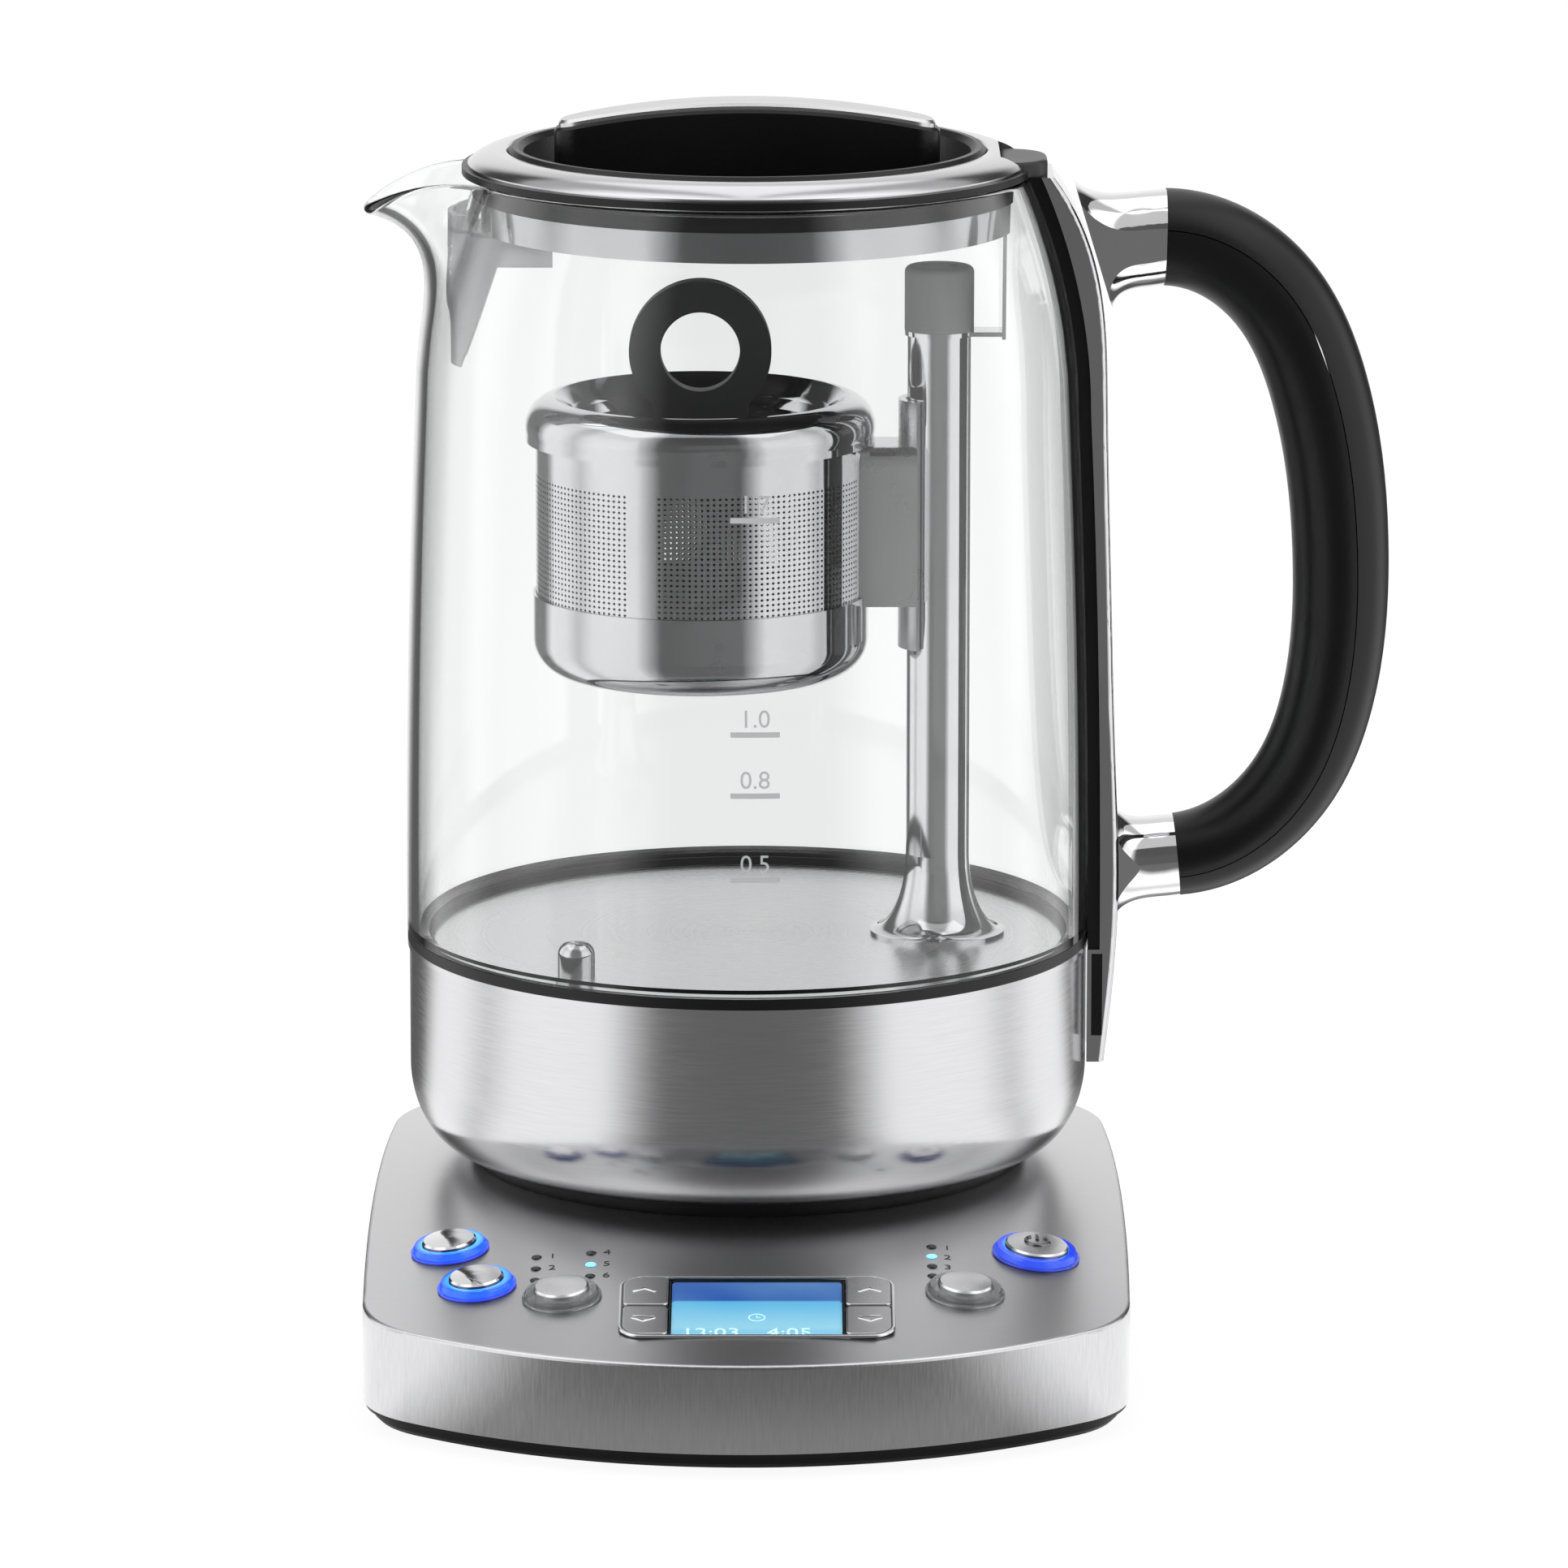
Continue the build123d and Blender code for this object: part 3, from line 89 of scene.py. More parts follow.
def pickSharp(piece, above):
    # picks the edges above a height whose two faces turn by more than 60 degrees
    normals = {}
    for face in piece.data.polygons:
        for pair in face.edge_keys:
            normals.setdefault(tuple(sorted(pair)), []).append(face.normal.copy())

    def isSharp(edge):
        sides = normals.get(tuple(sorted(edge.vertices)), [])
        high = all(p.z > above for p in edgeEnds(piece, edge))
        return high and len(sides) == 2 and sides[0].dot(sides[1]) < 0.5
    pick(piece, "EDGE", isSharp)


def bakePlace(piece):
    focus(piece)
    bpy.ops.object.transform_apply(location=True, rotation=True, scale=True)


def applyModifier(piece, kind, **values):
    focus(piece)
    modifier = piece.modifiers.new(kind.lower(), kind)
    for key, value in values.items():
        setattr(modifier, key, value)
    bpy.ops.object.modifier_apply(modifier=modifier.name)


def joinPieces(pieces, name):
    deselectAll()
    for piece in pieces:
        piece.select_set(True)
    bpy.context.view_layer.objects.active = pieces[0]
    bpy.ops.object.join()
    return nameNew(name)


def finishPiece(piece, body, material, smooth=40):
    focus(piece)
    bpy.ops.object.mode_set(mode="EDIT")
    bpy.ops.mesh.select_all(action="SELECT")
    bpy.ops.mesh.normals_make_consistent(inside=False)
    leaveEdit()
    bpy.ops.object.shade_smooth_by_angle(angle=math.radians(smooth))
    piece.data.materials.clear()
    piece.data.materials.append(material)
    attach(piece, body)


# helpers for nodes: the owner is a material or the world

def startMaterial(name, values):
    material = bpy.data.materials.new(name)
    material.use_nodes = True
    shader = material.node_tree.nodes["Principled BSDF"]
    for socket, value in values.items():
        shader.inputs[socket].default_value = value
    return material, shader


def addNode(owner, kind, **sockets):
    node = owner.node_tree.nodes.new("ShaderNode" + kind)
    for socket, value in sockets.items():
        node.inputs[socket].default_value = value
    return node


def join(owner, start, end):
    owner.node_tree.links.new(start, end)


def feed(owner, socket, value):
    # gives a socket a number, a colour or what another node puts out
    if isinstance(value, bpy.types.NodeSocket):
        join(owner, value, socket)
    elif isinstance(value, tuple):
        socket.default_value = (*value, 1)
    else:
        socket.default_value = value


def objectCoords(owner, scale=(1, 1, 1)):
    coords = addNode(owner, "TexCoord")
    mapping = addNode(owner, "Mapping", Scale=scale)
    join(owner, coords.outputs["Object"], mapping.inputs["Vector"])
    return mapping.outputs["Vector"]


def splitVector(owner, vector):
    split = addNode(owner, "SeparateXYZ")
    join(owner, vector, split.inputs[0])
    return split.outputs


def addNoise(owner, vector, scale, detail=3.0, rough=0.5):
    noise = addNode(owner, "TexNoise", Scale=scale, Detail=detail, Roughness=rough)
    join(owner, vector, noise.inputs["Vector"])
    return noise.outputs["Fac"]


def addRange(owner, value, low, high, start=0.3, end=0.7):
    node = addNode(owner, "MapRange")
    for socket, limit in (("From Min", start), ("From Max", end), ("To Min", low), ("To Max", high)):
        node.inputs[socket].default_value = limit
    join(owner, value, node.inputs["Value"])
    return node.outputs["Result"]


def addBump(material, height, strength, distance, shader):
    bump = addNode(material, "Bump", Strength=strength, Distance=distance)
    join(material, height, bump.inputs["Height"])
    join(material, bump.outputs["Normal"], shader.inputs["Normal"])


def addBlend(owner, share, first, second, kind="RGBA"):
    # a blend of two colours, or of two numbers where the kind is FLOAT
    mix = addNode(owner, "Mix")
    mix.data_type = kind
    firstSlot, result = {"RGBA": (6, 2), "FLOAT": (2, 0)}[kind]
    for slot, value in ((0, share), (firstSlot, first), (firstSlot + 1, second)):
        feed(owner, mix.inputs[slot], value)
    return mix.outputs[result]


def addMath(owner, operation, first, second=None):
    node = addNode(owner, "Math")
    node.operation = operation
    feed(owner, node.inputs[0], first)
    if second is not None:
        feed(owner, node.inputs[1], second)
    return node.outputs[0]


def planRadius(owner, x, y):
    squares = [addMath(owner, "MULTIPLY", value, value) for value in (x, y)]
    return addMath(owner, "SQRT", addMath(owner, "ADD", *squares))


def fillRamp(owner, share, stops):
    # a colour ramp from pairs of a place and a colour
    ramp = addNode(owner, "ValToRGB")
    join(owner, share, ramp.inputs[0])
    while len(ramp.color_ramp.elements) < len(stops):
        ramp.color_ramp.elements.new(1.0)
    for element, (place, colour) in zip(ramp.color_ramp.elements, stops):
        element.position = place
        element.color = (*colour, 1)
    return ramp.outputs[0]


def scaleTone(tone, share):
    return tuple(c * share for c in tone)


# finishes

steelGrain = {"tone": (0.62, 0.62, 0.63), "shade": 0.93, "rough": (0.17, 0.23), "fine": 2600, "long": 110,
              "ring": 0.6, "bump": 0.05}


def brushedSteel(name, along, tone=steelGrain["tone"], rough=steelGrain["rough"], bump=steelGrain["bump"]):
    # the grain runs along X, in level lines for H, or in rings about the Z axis for R
    look = steelGrain
    material, shader = startMaterial(name, {"Metallic": 1.0, "Anisotropic": 0.3})
    fine, long = look["fine"], look["long"]
    if along == "R":
        place = splitVector(material, objectCoords(material))
        radius = planRadius(material, place["X"], place["Y"])
        combine = addNode(material, "CombineXYZ")
        join(material, addMath(material, "MULTIPLY", radius, fine * look["ring"]), combine.inputs[0])
        vector = combine.outputs[0]
    else:
        vector = objectCoords(material, {"X": (long, fine, fine), "H": (long, long, fine)}[along])
    grain = addNoise(material, vector, 1.0, 2.0, 0.55)
    cloud = addNoise(material, objectCoords(material), 18.0, 2.0)
    dark = scaleTone(tone, look["shade"])
    shade = addBlend(material, addRange(material, grain, 0.0, 1.0), dark, tone)
    shade = addBlend(material, addRange(material, cloud, 0.0, 0.2), shade, dark)
    join(material, shade, shader.inputs["Base Color"])
    join(material, addRange(material, grain, *rough), shader.inputs["Roughness"])
    addBump(material, grain, bump, 0.0001, shader)
    return material


coverGrain = {"upright": 220, "level": 90, "turn": (0.5, 0.85), "bandShade": 0.90, "roofShade": 0.97,
              "rough": (0.20, 0.26), "roofRough": 0.1, "roofGrain": 0.3, "bump": 0.06}


def coverSteel(name):
    # upright grain on the edge band, satin on the sloping top
    look, tone, fine = coverGrain, steelGrain["tone"], steelGrain["fine"]
    material, shader = startMaterial(name, {"Metallic": 1.0, "Anisotropic": 0.2})
    upright = addNoise(material, objectCoords(material, (fine, fine * 0.6, look["upright"])), 1.0, 2.0, 0.6)
    level = addNoise(material, objectCoords(material, (look["level"], fine, fine * 0.4)), 1.0, 2.0, 0.5)
    normal = splitVector(material, addNode(material, "NewGeometry").outputs["Normal"])
    top = addRange(material, normal["Z"], 0.0, 1.0, *look["turn"])
    band = addBlend(material, addRange(material, upright, 0.0, 1.0), scaleTone(tone, look["bandShade"]), tone)
    roof = addBlend(material, addRange(material, level, 0.0, 1.0), scaleTone(tone, look["roofShade"]), tone)
    join(material, addBlend(material, top, band, roof), shader.inputs["Base Color"])
    grain = addBlend(material, top, upright, addMath(material, "MULTIPLY", level, look["roofGrain"]))
    satin = addMath(material, "MULTIPLY", top, look["roofRough"])
    rough = addMath(material, "ADD", addRange(material, grain, *look["rough"]), satin)
    join(material, rough, shader.inputs["Roughness"])
    addBump(material, grain, look["bump"], 0.0001, shader)
    return material


collarLook = {"splitZ": 0.0855, "edge": 0.0001, "black": (0.006, 0.006, 0.0065), "steelRough": 0.2,
              "blackRough": 0.4, "bump": 0.02}


def collarFinish(name):
    # black lip over a steel rim, parted at one height
    look, tone = collarLook, steelGrain["tone"]
    material, shader = startMaterial(name, {"IOR": 1.5, "Specular IOR Level": 0.3})
    height = splitVector(material, objectCoords(material))["Z"]
    lip = addRange(material, height, 0.0, 1.0, look["splitZ"], look["splitZ"] + look["edge"])
    fine, long = steelGrain["fine"], steelGrain["long"]
    grain = addNoise(material, objectCoords(material, (long, long, fine)), 1.0, 2.0)
    steel = addBlend(material, grain, scaleTone(tone, steelGrain["shade"]), tone)
    join(material, addBlend(material, lip, steel, look["black"]), shader.inputs["Base Color"])
    join(material, addRange(material, lip, 1.0, 0.0, 0.0, 1.0), shader.inputs["Metallic"])
    rough = addRange(material, lip, look["steelRough"], look["blackRough"], 0.0, 1.0)
    join(material, rough, shader.inputs["Roughness"])
    addBump(material, grain, look["bump"], 0.0001, shader)
    return material


chromeLook = {"tone": (0.80, 0.80, 0.81), "shade": 0.94, "rough": (0.035, 0.09), "ripple": 0.02,
              "smudges": 45.0, "waves": 70.0}


def polishedMetal(name, tone=chromeLook["tone"], rough=chromeLook["rough"], ripple=chromeLook["ripple"]):
    look = chromeLook
    material, shader = startMaterial(name, {"Metallic": 1.0})
    smudge = addNoise(material, objectCoords(material), look["smudges"], 4.0, 0.6)
    wave = addNoise(material, objectCoords(material), look["waves"], 1.0)
    shade = addBlend(material, addRange(material, smudge, 0.0, 1.0), scaleTone(tone, look["shade"]), tone)
    join(material, shade, shader.inputs["Base Color"])
    join(material, addRange(material, smudge, *rough), shader.inputs["Roughness"])
    addBump(material, wave, ripple, 0.0005, shader)
    return material


plasticLook = {"rough": (0.38, 0.5), "grain": 1800.0, "bump": 0.12, "gloss": 0.3, "wear": 30.0, "worn": 1.2}


def mouldedPlastic(name, tone, rough=plasticLook["rough"], grain=plasticLook["grain"],
                   bump=plasticLook["bump"]):
    look = plasticLook
    material, shader = startMaterial(name, {"IOR": 1.5, "Specular IOR Level": look["gloss"]})
    pits = addNoise(material, objectCoords(material), grain, 2.0)
    wear = addNoise(material, objectCoords(material), look["wear"], 4.0, 0.6)
    worn = tuple(c * look["worn"] + 0.0008 for c in tone)
    shade = addBlend(material, addRange(material, wear, 0.0, 0.6), tone, worn)
    join(material, shade, shader.inputs["Base Color"])
    join(material, addRange(material, wear, *rough), shader.inputs["Roughness"])
    addBump(material, pits, bump, 0.0002, shader)
    return material


def letLampsThrough(material, shader, share=0.92):
    # lamps shine through the glass on what is inside
    clear = addNode(material, "BsdfTransparent", Color=(share, share, share, 1))
    path = addNode(material, "LightPath")
    mix = addNode(material, "MixShader")
    join(material, path.outputs["Is Shadow Ray"], mix.inputs[0])
    join(material, shader.outputs[0], mix.inputs[1])
    join(material, clear.outputs[0], mix.inputs[2])
    join(material, mix.outputs[0], material.node_tree.nodes["Material Output"].inputs["Surface"])


def clearGlass(name, tone=(0.94, 0.945, 0.945), ior=1.47, ripple=0.012):
    material, shader = startMaterial(name, {"Transmission Weight": 1.0, "IOR": ior, "Roughness": 0.0,
                                            "Base Color": (*tone, 1)})
    wave = addNoise(material, objectCoords(material, (1, 1, 0.4)), 22.0, 1.0)
    addBump(material, wave, ripple, 0.001, shader)
    letLampsThrough(material, shader)
    return material


smokyLook = {"clear": 0.72, "dark": (0.60, 0.60, 0.61), "pale": (0.72, 0.72, 0.73), "rough": (0.18, 0.3),
             "lampShare": 0.6}


def smokyPlastic(name):
    look = smokyLook
    material, shader = startMaterial(name, {"Transmission Weight": look["clear"], "IOR": 1.46})
    cloud = addNoise(material, objectCoords(material), 60.0, 2.0)
    join(material, addBlend(material, cloud, look["dark"], look["pale"]), shader.inputs["Base Color"])
    join(material, addRange(material, cloud, *look["rough"]), shader.inputs["Roughness"])
    letLampsThrough(material, shader, look["lampShare"])
    return material


# rings and light pipes: the lit ones are known by their places in plan
ringLight = {"lit": [(-0.0639, -0.0693), (-0.0574, -0.0913), (0.0622, -0.0726)], "reach": 0.0105,
             "inner": 0.0064, "outer": 0.0088, "cyanEnd": 0.45, "rimStart": 0.55, "fadeStart": 0.35,
             "cyan": (0.06, 0.50, 1.0), "blue": (0.008, 0.05, 0.95), "rim": (0.10, 0.13, 0.75),
             "unlitTone": (0.66, 0.67, 0.69), "litTone": (0.04, 0.08, 0.40), "strength": 1.1, "faint": 0.35}
pipeLight = {"lit": [(-0.0333, -0.0838), (0.0397, -0.0784)], "reach": 0.003, "strength": 2.2,
             "unlit": ((0.012, 0.012, 0.013), (0.05, 0.05, 0.052)), "litTone": (0.2, 0.7, 1.0),
             "glow": (0.12, 0.55, 1.0)}


def dimInMirrors(material, strength, share=0.04):
    # a lit part shows only faintly in the metal round it
    path = addNode(material, "LightPath")
    mirrored = addMath(material, "MINIMUM", path.outputs["Glossy Depth"], 1.0)
    fall = addMath(material, "MULTIPLY", mirrored, share - 1.0)
    return addMath(material, "MULTIPLY", addMath(material, "ADD", fall, 1.0), strength)


def planDistance(material, points):
    # distance in plan to the nearest of the points
    coords = objectCoords(material, (1, 1, 0))
    nearest = None
    for x, y in points:
        step = addNode(material, "VectorMath")
        step.operation = "DISTANCE"
        join(material, coords, step.inputs[0])
        step.inputs[1].default_value = (x, y, 0)
        found = step.outputs["Value"]
        nearest = found if nearest is None else addMath(material, "MINIMUM", nearest, found)
    return nearest


def litRings(name):
    look = ringLight
    material, shader = startMaterial(name, {"Transmission Weight": 0.8, "IOR": 1.49, "Roughness": 0.05})
    far = planDistance(material, look["lit"])
    lit = addMath(material, "LESS_THAN", far, look["reach"])
    cloud = addNoise(material, objectCoords(material), 160.0, 2.0)
    spread = addRange(material, far, 0.0, 1.0, look["inner"], look["outer"])
    inner = addRange(material, spread, 0.0, 1.0, 0.0, look["cyanEnd"])
    outer = addRange(material, spread, 0.0, 1.0, look["rimStart"], 1.0)
    glow = addBlend(material, inner, look["cyan"], look["blue"])
    glow = addBlend(material, outer, glow, look["rim"])
    glow = addBlend(material, addRange(material, cloud, 0.0, 0.35), glow, look["blue"])
    join(material, addBlend(material, lit, look["unlitTone"], look["litTone"]), shader.inputs["Base Color"])
    join(material, glow, shader.inputs["Emission Color"])
    strength = look["strength"]
    fade = addRange(material, spread, strength, strength * look["faint"], look["fadeStart"], 1.0)
    join(material, dimInMirrors(material, addMath(material, "MULTIPLY", lit, fade)),
         shader.inputs["Emission Strength"])
    return material


def lightPipes(name):
    look = pipeLight
    material, shader = startMaterial(name, {"Roughness": 0.15, "IOR": 1.5,
                                            "Emission Color": (*look["glow"], 1)})
    lit = addMath(material, "LESS_THAN", planDistance(material, look["lit"]), look["reach"])
    cloud = addNoise(material, objectCoords(material), 900.0, 1.0)
    unlit = addBlend(material, cloud, *look["unlit"])
    join(material, addBlend(material, lit, unlit, look["litTone"]), shader.inputs["Base Color"])
    join(material, dimInMirrors(material, addMath(material, "MULTIPLY", lit, look["strength"])),
         shader.inputs["Emission Strength"])
    return material


screenLook = {"farEdge": -0.0935, "bandEnd": -0.1035, "nearEdge": -0.1225, "softEdge": 0.03, "palest": 0.78,
              "deep": (0.004, 0.07, 0.42), "cyan": (0.10, 0.50, 0.83), "pale": (0.34, 0.72, 0.90),
              "dark": (0.01, 0.02, 0.03), "darkShare": 0.85, "cloud": 0.25, "strength": 0.9}


def litScreen(name):
    # a deep blue band at the far edge, then paler towards the front
    look = screenLook
    material, shader = startMaterial(name, {"Roughness": 0.3})
    coords = objectCoords(material)
    down = addRange(material, splitVector(material, coords)["Y"], 0.0, 1.0, look["farEdge"], look["nearEdge"])
    band = (look["bandEnd"] - look["farEdge"]) / (look["nearEdge"] - look["farEdge"])
    ramp = fillRamp(material, down, [(0.0, look["deep"]), (band - look["softEdge"], look["deep"]),
                                     (band, look["cyan"]), (look["palest"], look["pale"]),
                                     (1.0, look["cyan"])])
    cloud = addNoise(material, coords, 40.0, 1.0)
    shade = addBlend(material, addRange(material, cloud, 0.0, look["cloud"]), ramp, look["pale"])
    join(material, shade, shader.inputs["Emission Color"])
    join(material, addBlend(material, look["darkShare"], shade, look["dark"]), shader.inputs["Base Color"])
    join(material, dimInMirrors(material, look["strength"]), shader.inputs["Emission Strength"])
    return material


digitLook = {"tone": (0.55, 0.85, 0.95), "pale": (0.75, 0.95, 1.0), "cloud": 0.4, "strength": 0.8}


def glowingDigits(name):
    look = digitLook
    material, shader = startMaterial(name, {"Roughness": 0.2, "Emission Strength": look["strength"]})
    cloud = addNoise(material, objectCoords(material), 900.0, 1.0)
    tone = addBlend(material, addRange(material, cloud, 0.0, look["cloud"]), look["tone"], look["pale"])
    join(material, tone, shader.inputs["Emission Color"])
    join(material, tone, shader.inputs["Base Color"])
    return material


boardTones = {"Color1": (0.02, 0.14, 0.05), "Color2": (0.03, 0.18, 0.07), "Mortar": (0.05, 0.26, 0.1)}


def circuitBoard(name):
    material, shader = startMaterial(name, {"Roughness": 0.4})
    tracks = addNode(material, "TexBrick", Scale=260.0)
    join(material, objectCoords(material), tracks.inputs["Vector"])
    for socket, tone in boardTones.items():
        feed(material, tracks.inputs[socket], tone)
    join(material, tracks.outputs["Color"], shader.inputs["Base Color"])
    return material


steelRound = brushedSteel("steelRound", "H")
steelNeck = polishedMetal("steelNeck", tone=(0.50, 0.50, 0.51), rough=(0.08, 0.12), ripple=0.004)
steelSheet = coverSteel("steelSheet")
steelPlate = brushedSteel("steelPlate", "X", tone=(0.60, 0.60, 0.61), rough=(0.22, 0.3))
steelFloor = brushedSteel("steelFloor", "R", tone=(0.66, 0.66, 0.67), rough=(0.2, 0.3), bump=0.02)
mirrorSteel = polishedMetal("mirrorSteel", tone=(0.62, 0.62, 0.63), rough=(0.04, 0.09), ripple=0.06)
# a dark steel for the basket wall's inner faces: painted shade inside the basket, which is the same steel as
# outside
innerPaintedShade = polishedMetal("innerPaintedShade", tone=(0.16, 0.16, 0.165), rough=(0.3, 0.4))
bracketSteel = polishedMetal("bracketSteel", tone=(0.74, 0.74, 0.75), rough=(0.26, 0.34), ripple=0.15)
satinChrome = polishedMetal("satinChrome", tone=(0.60, 0.60, 0.61), rough=(0.14, 0.20), ripple=0.01)
chrome = polishedMetal("chrome")
silverKey = polishedMetal("silverKey", tone=(0.60, 0.60, 0.61), rough=(0.26, 0.32))
capSilver = polishedMetal("capSilver", tone=(0.80, 0.80, 0.81), rough=(0.24, 0.30))
plainSteel = polishedMetal("plainSteel", tone=(0.5, 0.5, 0.5), rough=(0.25, 0.4))
signSteel = polishedMetal("signSteel", tone=(0.20, 0.20, 0.21), rough=(0.15, 0.25))
brass = polishedMetal("brass", tone=(0.72, 0.5, 0.2), rough=(0.2, 0.3))
dullAluminium = polishedMetal("dullAluminium", tone=(0.6, 0.6, 0.6), rough=(0.35, 0.5))
blackPlastic = mouldedPlastic("blackPlastic", (0.006, 0.006, 0.0065))
lidBlack = mouldedPlastic("lidBlack", (0.005, 0.005, 0.0055), rough=(0.3, 0.4), grain=900.0, bump=0.25)
gripBlack = mouldedPlastic("gripBlack", (0.004, 0.004, 0.0045), rough=(0.34, 0.4), grain=1400.0, bump=0.06)
capGrey = mouldedPlastic("capGrey", (0.028, 0.028, 0.029), rough=(0.32, 0.42))
blackRubber = mouldedPlastic("blackRubber", (0.010, 0.010, 0.010), rough=(0.6, 0.75))
capSilicone = mouldedPlastic("capSilicone", (0.30, 0.30, 0.302), rough=(0.5, 0.6), bump=0.05)
pullSilicone = mouldedPlastic("pullSilicone", (0.034, 0.034, 0.035), rough=(0.42, 0.55), bump=0.05)
levelPrint = mouldedPlastic("levelPrint", (0.58, 0.59, 0.60), rough=(0.4, 0.5), bump=0.02)
darkPrint = mouldedPlastic("darkPrint", (0.03, 0.03, 0.032), rough=(0.45, 0.55), bump=0.02)
jugGlass = clearGlass("jugGlass")
windowGlass = clearGlass("windowGlass", tone=(0.98, 0.98, 0.98), ior=1.3, ripple=0.004)
collarBlack = collarFinish("collarBlack")
ringPlastic = litRings("ringPlastic")
smoky = smokyPlastic("smoky")
lightPipe = lightPipes("lightPipe")
screenFace = litScreen("screenFace")
digitWhite = glowingDigits("digitWhite")
boardGreen = circuitBoard("boardGreen")

finishOf = {
    steelRound: ["jug_cup"],
    steelNeck: ["lid_skirt"],
    steelSheet: ["base_cover"],
    steelPlate: ["lid_grip_plate"],
    steelFloor: ["heater_plate"],
    mirrorSteel: ["handle_spine", "pole_tube", "pole_hanger", "temperature_probe", "basket_wall",
                  "basket_cup", "basket_lid"],
    bracketSteel: ["basket_bracket", "basket_shoe"],
    satinChrome: ["lid_ring"],
    chrome: ["upper_ferrule", "lower_ferrule", "button_auto", "button_warm"],
    silverKey: ["key_left_up", "key_left_down", "key_right_up", "key_right_down"],
    capSilver: ["button_tea", "button_custom", "button_power"],
    plainSteel: ["tray_screws", "lift_motor", "lead_screw", "magnet_carriage"],
    blackPlastic: ["base_tray", "base_seat", "base_connector", "cord_inlet", "display_frame",
                   "board_switches", "jug_bottom", "jug_connector"],
    collarBlack: ["jug_collar"],
    lidBlack: ["lid_dish", "lid_grip", "spine_strip"],
    capGrey: ["handle_top_cap"],
    gripBlack: ["grip_outer", "grip_inner"],
    blackRubber: ["base_feet", "jug_gasket", "lid_seal"],
    capSilicone: ["pole_cap"],
    pullSilicone: ["ring_pull"],
    jugGlass: ["jug_glass"],
    windowGlass: ["display_window"],
    ringPlastic: ["light_rings"],
    smoky: ["spout_strainer"],
    lightPipe: ["indicator_lights"],
    screenFace: ["display_panel"],
    boardGreen: ["control_board"],
    brass: ["contact_pins"],
    dullAluminium: ["heater_element"],
}
for material, names in finishOf.items():
    for name in names:
        cad[name].data.materials.clear()
        cad[name].data.materials.append(material)
deselectAll()
print("finishes are on the frame's nodes")


# blown glass with its spout
glassBody = {
    "sides": 192, "wall": 2.5, "foot": 73.2, "footZ": 82.6, "stepZ": 88.1, "step": (-1.2, 0.1), "low": 75.5,
    "shoulder": 72.8, "shoulderZ": 204.0, "bulge": 0.7, "curve": 125.0, "rimZ": 255.8, "rimRound": 1.15,
    "spoutRoot": 50.0, "spoutReach": 33.8, "spoutHalf": 22.2, "droop": 36.0, "droopStart": 60.0,
    "flareZ": 222.0, "flareOut": 2.6, "flareDown": 2.9, "blend": 3.0, "bodyRows": 16, "flareRows": 26,
}


def wallRadius(z):
    # outer radius of the round part: a narrow foot, a slight bulge and the shoulder's arc
    g = glassBody
    if z < g["stepZ"] - 0.3:
        return g["foot"]
    if z < g["shoulderZ"]:
        t = (z - g["stepZ"]) / (g["shoulderZ"] - g["stepZ"])
        return g["low"] + (g["shoulder"] - g["low"]) * t + g["bulge"] * 4 * t * (1 - t)
    return g["shoulder"] - g["curve"] + math.sqrt(g["curve"] ** 2 - (z - g["shoulderZ"]) ** 2)


def rimRadius(angle):
    # plan of the rim: a circle run softly into the spout's oval
    g = glassBody
    ring = wallRadius(g["rimZ"])
    a, b = g["spoutReach"], g["spoutHalf"]
    c, s = math.cos(angle), math.sin(angle)
    k = (c / a) ** 2 + (s / b) ** 2
    half = g["spoutRoot"] * c / a ** 2
    inside = half ** 2 - k * ((g["spoutRoot"] / a) ** 2 - 1)
    if c <= 0 or inside <= 0:
        return ring
    gap = (half + math.sqrt(inside)) / k - ring
    fade = min(1.0, max(0.0, gap / g["blend"] + 1.0))
    return ring + (gap + math.sqrt(gap ** 2 + g["blend"] ** 2)) / 2 * fade


def rimHeight(x):
    # the rim droops towards the spout's tip
    g = glassBody
    over = max(0.0, -x - g["droopStart"])
    return g["rimZ"] - g["droop"] + math.sqrt(max(0.0, g["droop"] ** 2 - over ** 2))


def evenRows(low, high, count):
    return [low + (high - low) * i / count for i in range(1, count + 1)]


def blowGlass():
    g = glassBody
    rows = [g["footZ"]] + [g["stepZ"] + z for z in g["step"]]
    rows += evenRows(g["stepZ"], g["flareZ"], g["bodyRows"])
    rows += evenRows(g["flareZ"], g["rimZ"], g["flareRows"])
    bpy.ops.mesh.primitive_cylinder_add(vertices=g["sides"], radius=1, depth=1, end_fill_type="NOTHING")
    piece = nameNew("glassBody")
    pick(piece, "EDGE", lambda e: edgeSpan(piece, e, "Z") > 0.5)
    bpy.ops.mesh.subdivide(number_cuts=len(rows) - 2)
    leaveEdit()
    ring = wallRadius(g["rimZ"])
    for v in piece.data.vertices:
        z = rows[round((v.co.z + 0.5) * (len(rows) - 1))]
        angle = math.atan2(v.co.y, -v.co.x)
        share = max(0.0, (z - g["flareZ"]) / (g["rimZ"] - g["flareZ"]))
        out = rimRadius(angle) - ring
        drop = g["rimZ"] - rimHeight(-(ring + out) * math.cos(angle))
        radius = wallRadius(z) + out * share ** g["flareOut"]
        z -= drop * share ** g["flareDown"]
        v.co = (-radius * math.cos(angle) * mm, radius * math.sin(angle) * mm, z * mm)
    applyModifier(piece, "SOLIDIFY", thickness=g["wall"] * mm, offset=-1, use_even_offset=True)
    pickSharp(piece, g["shoulderZ"] * mm)
    bpy.ops.mesh.bevel(offset=g["rimRound"] * mm, segments=4, affect="EDGES")
    leaveEdit()
    return piece


glass = blowGlass()
finishPiece(glass, "jug", jugGlass, smooth=60)
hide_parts("jug_glass")
print("glass is blown")


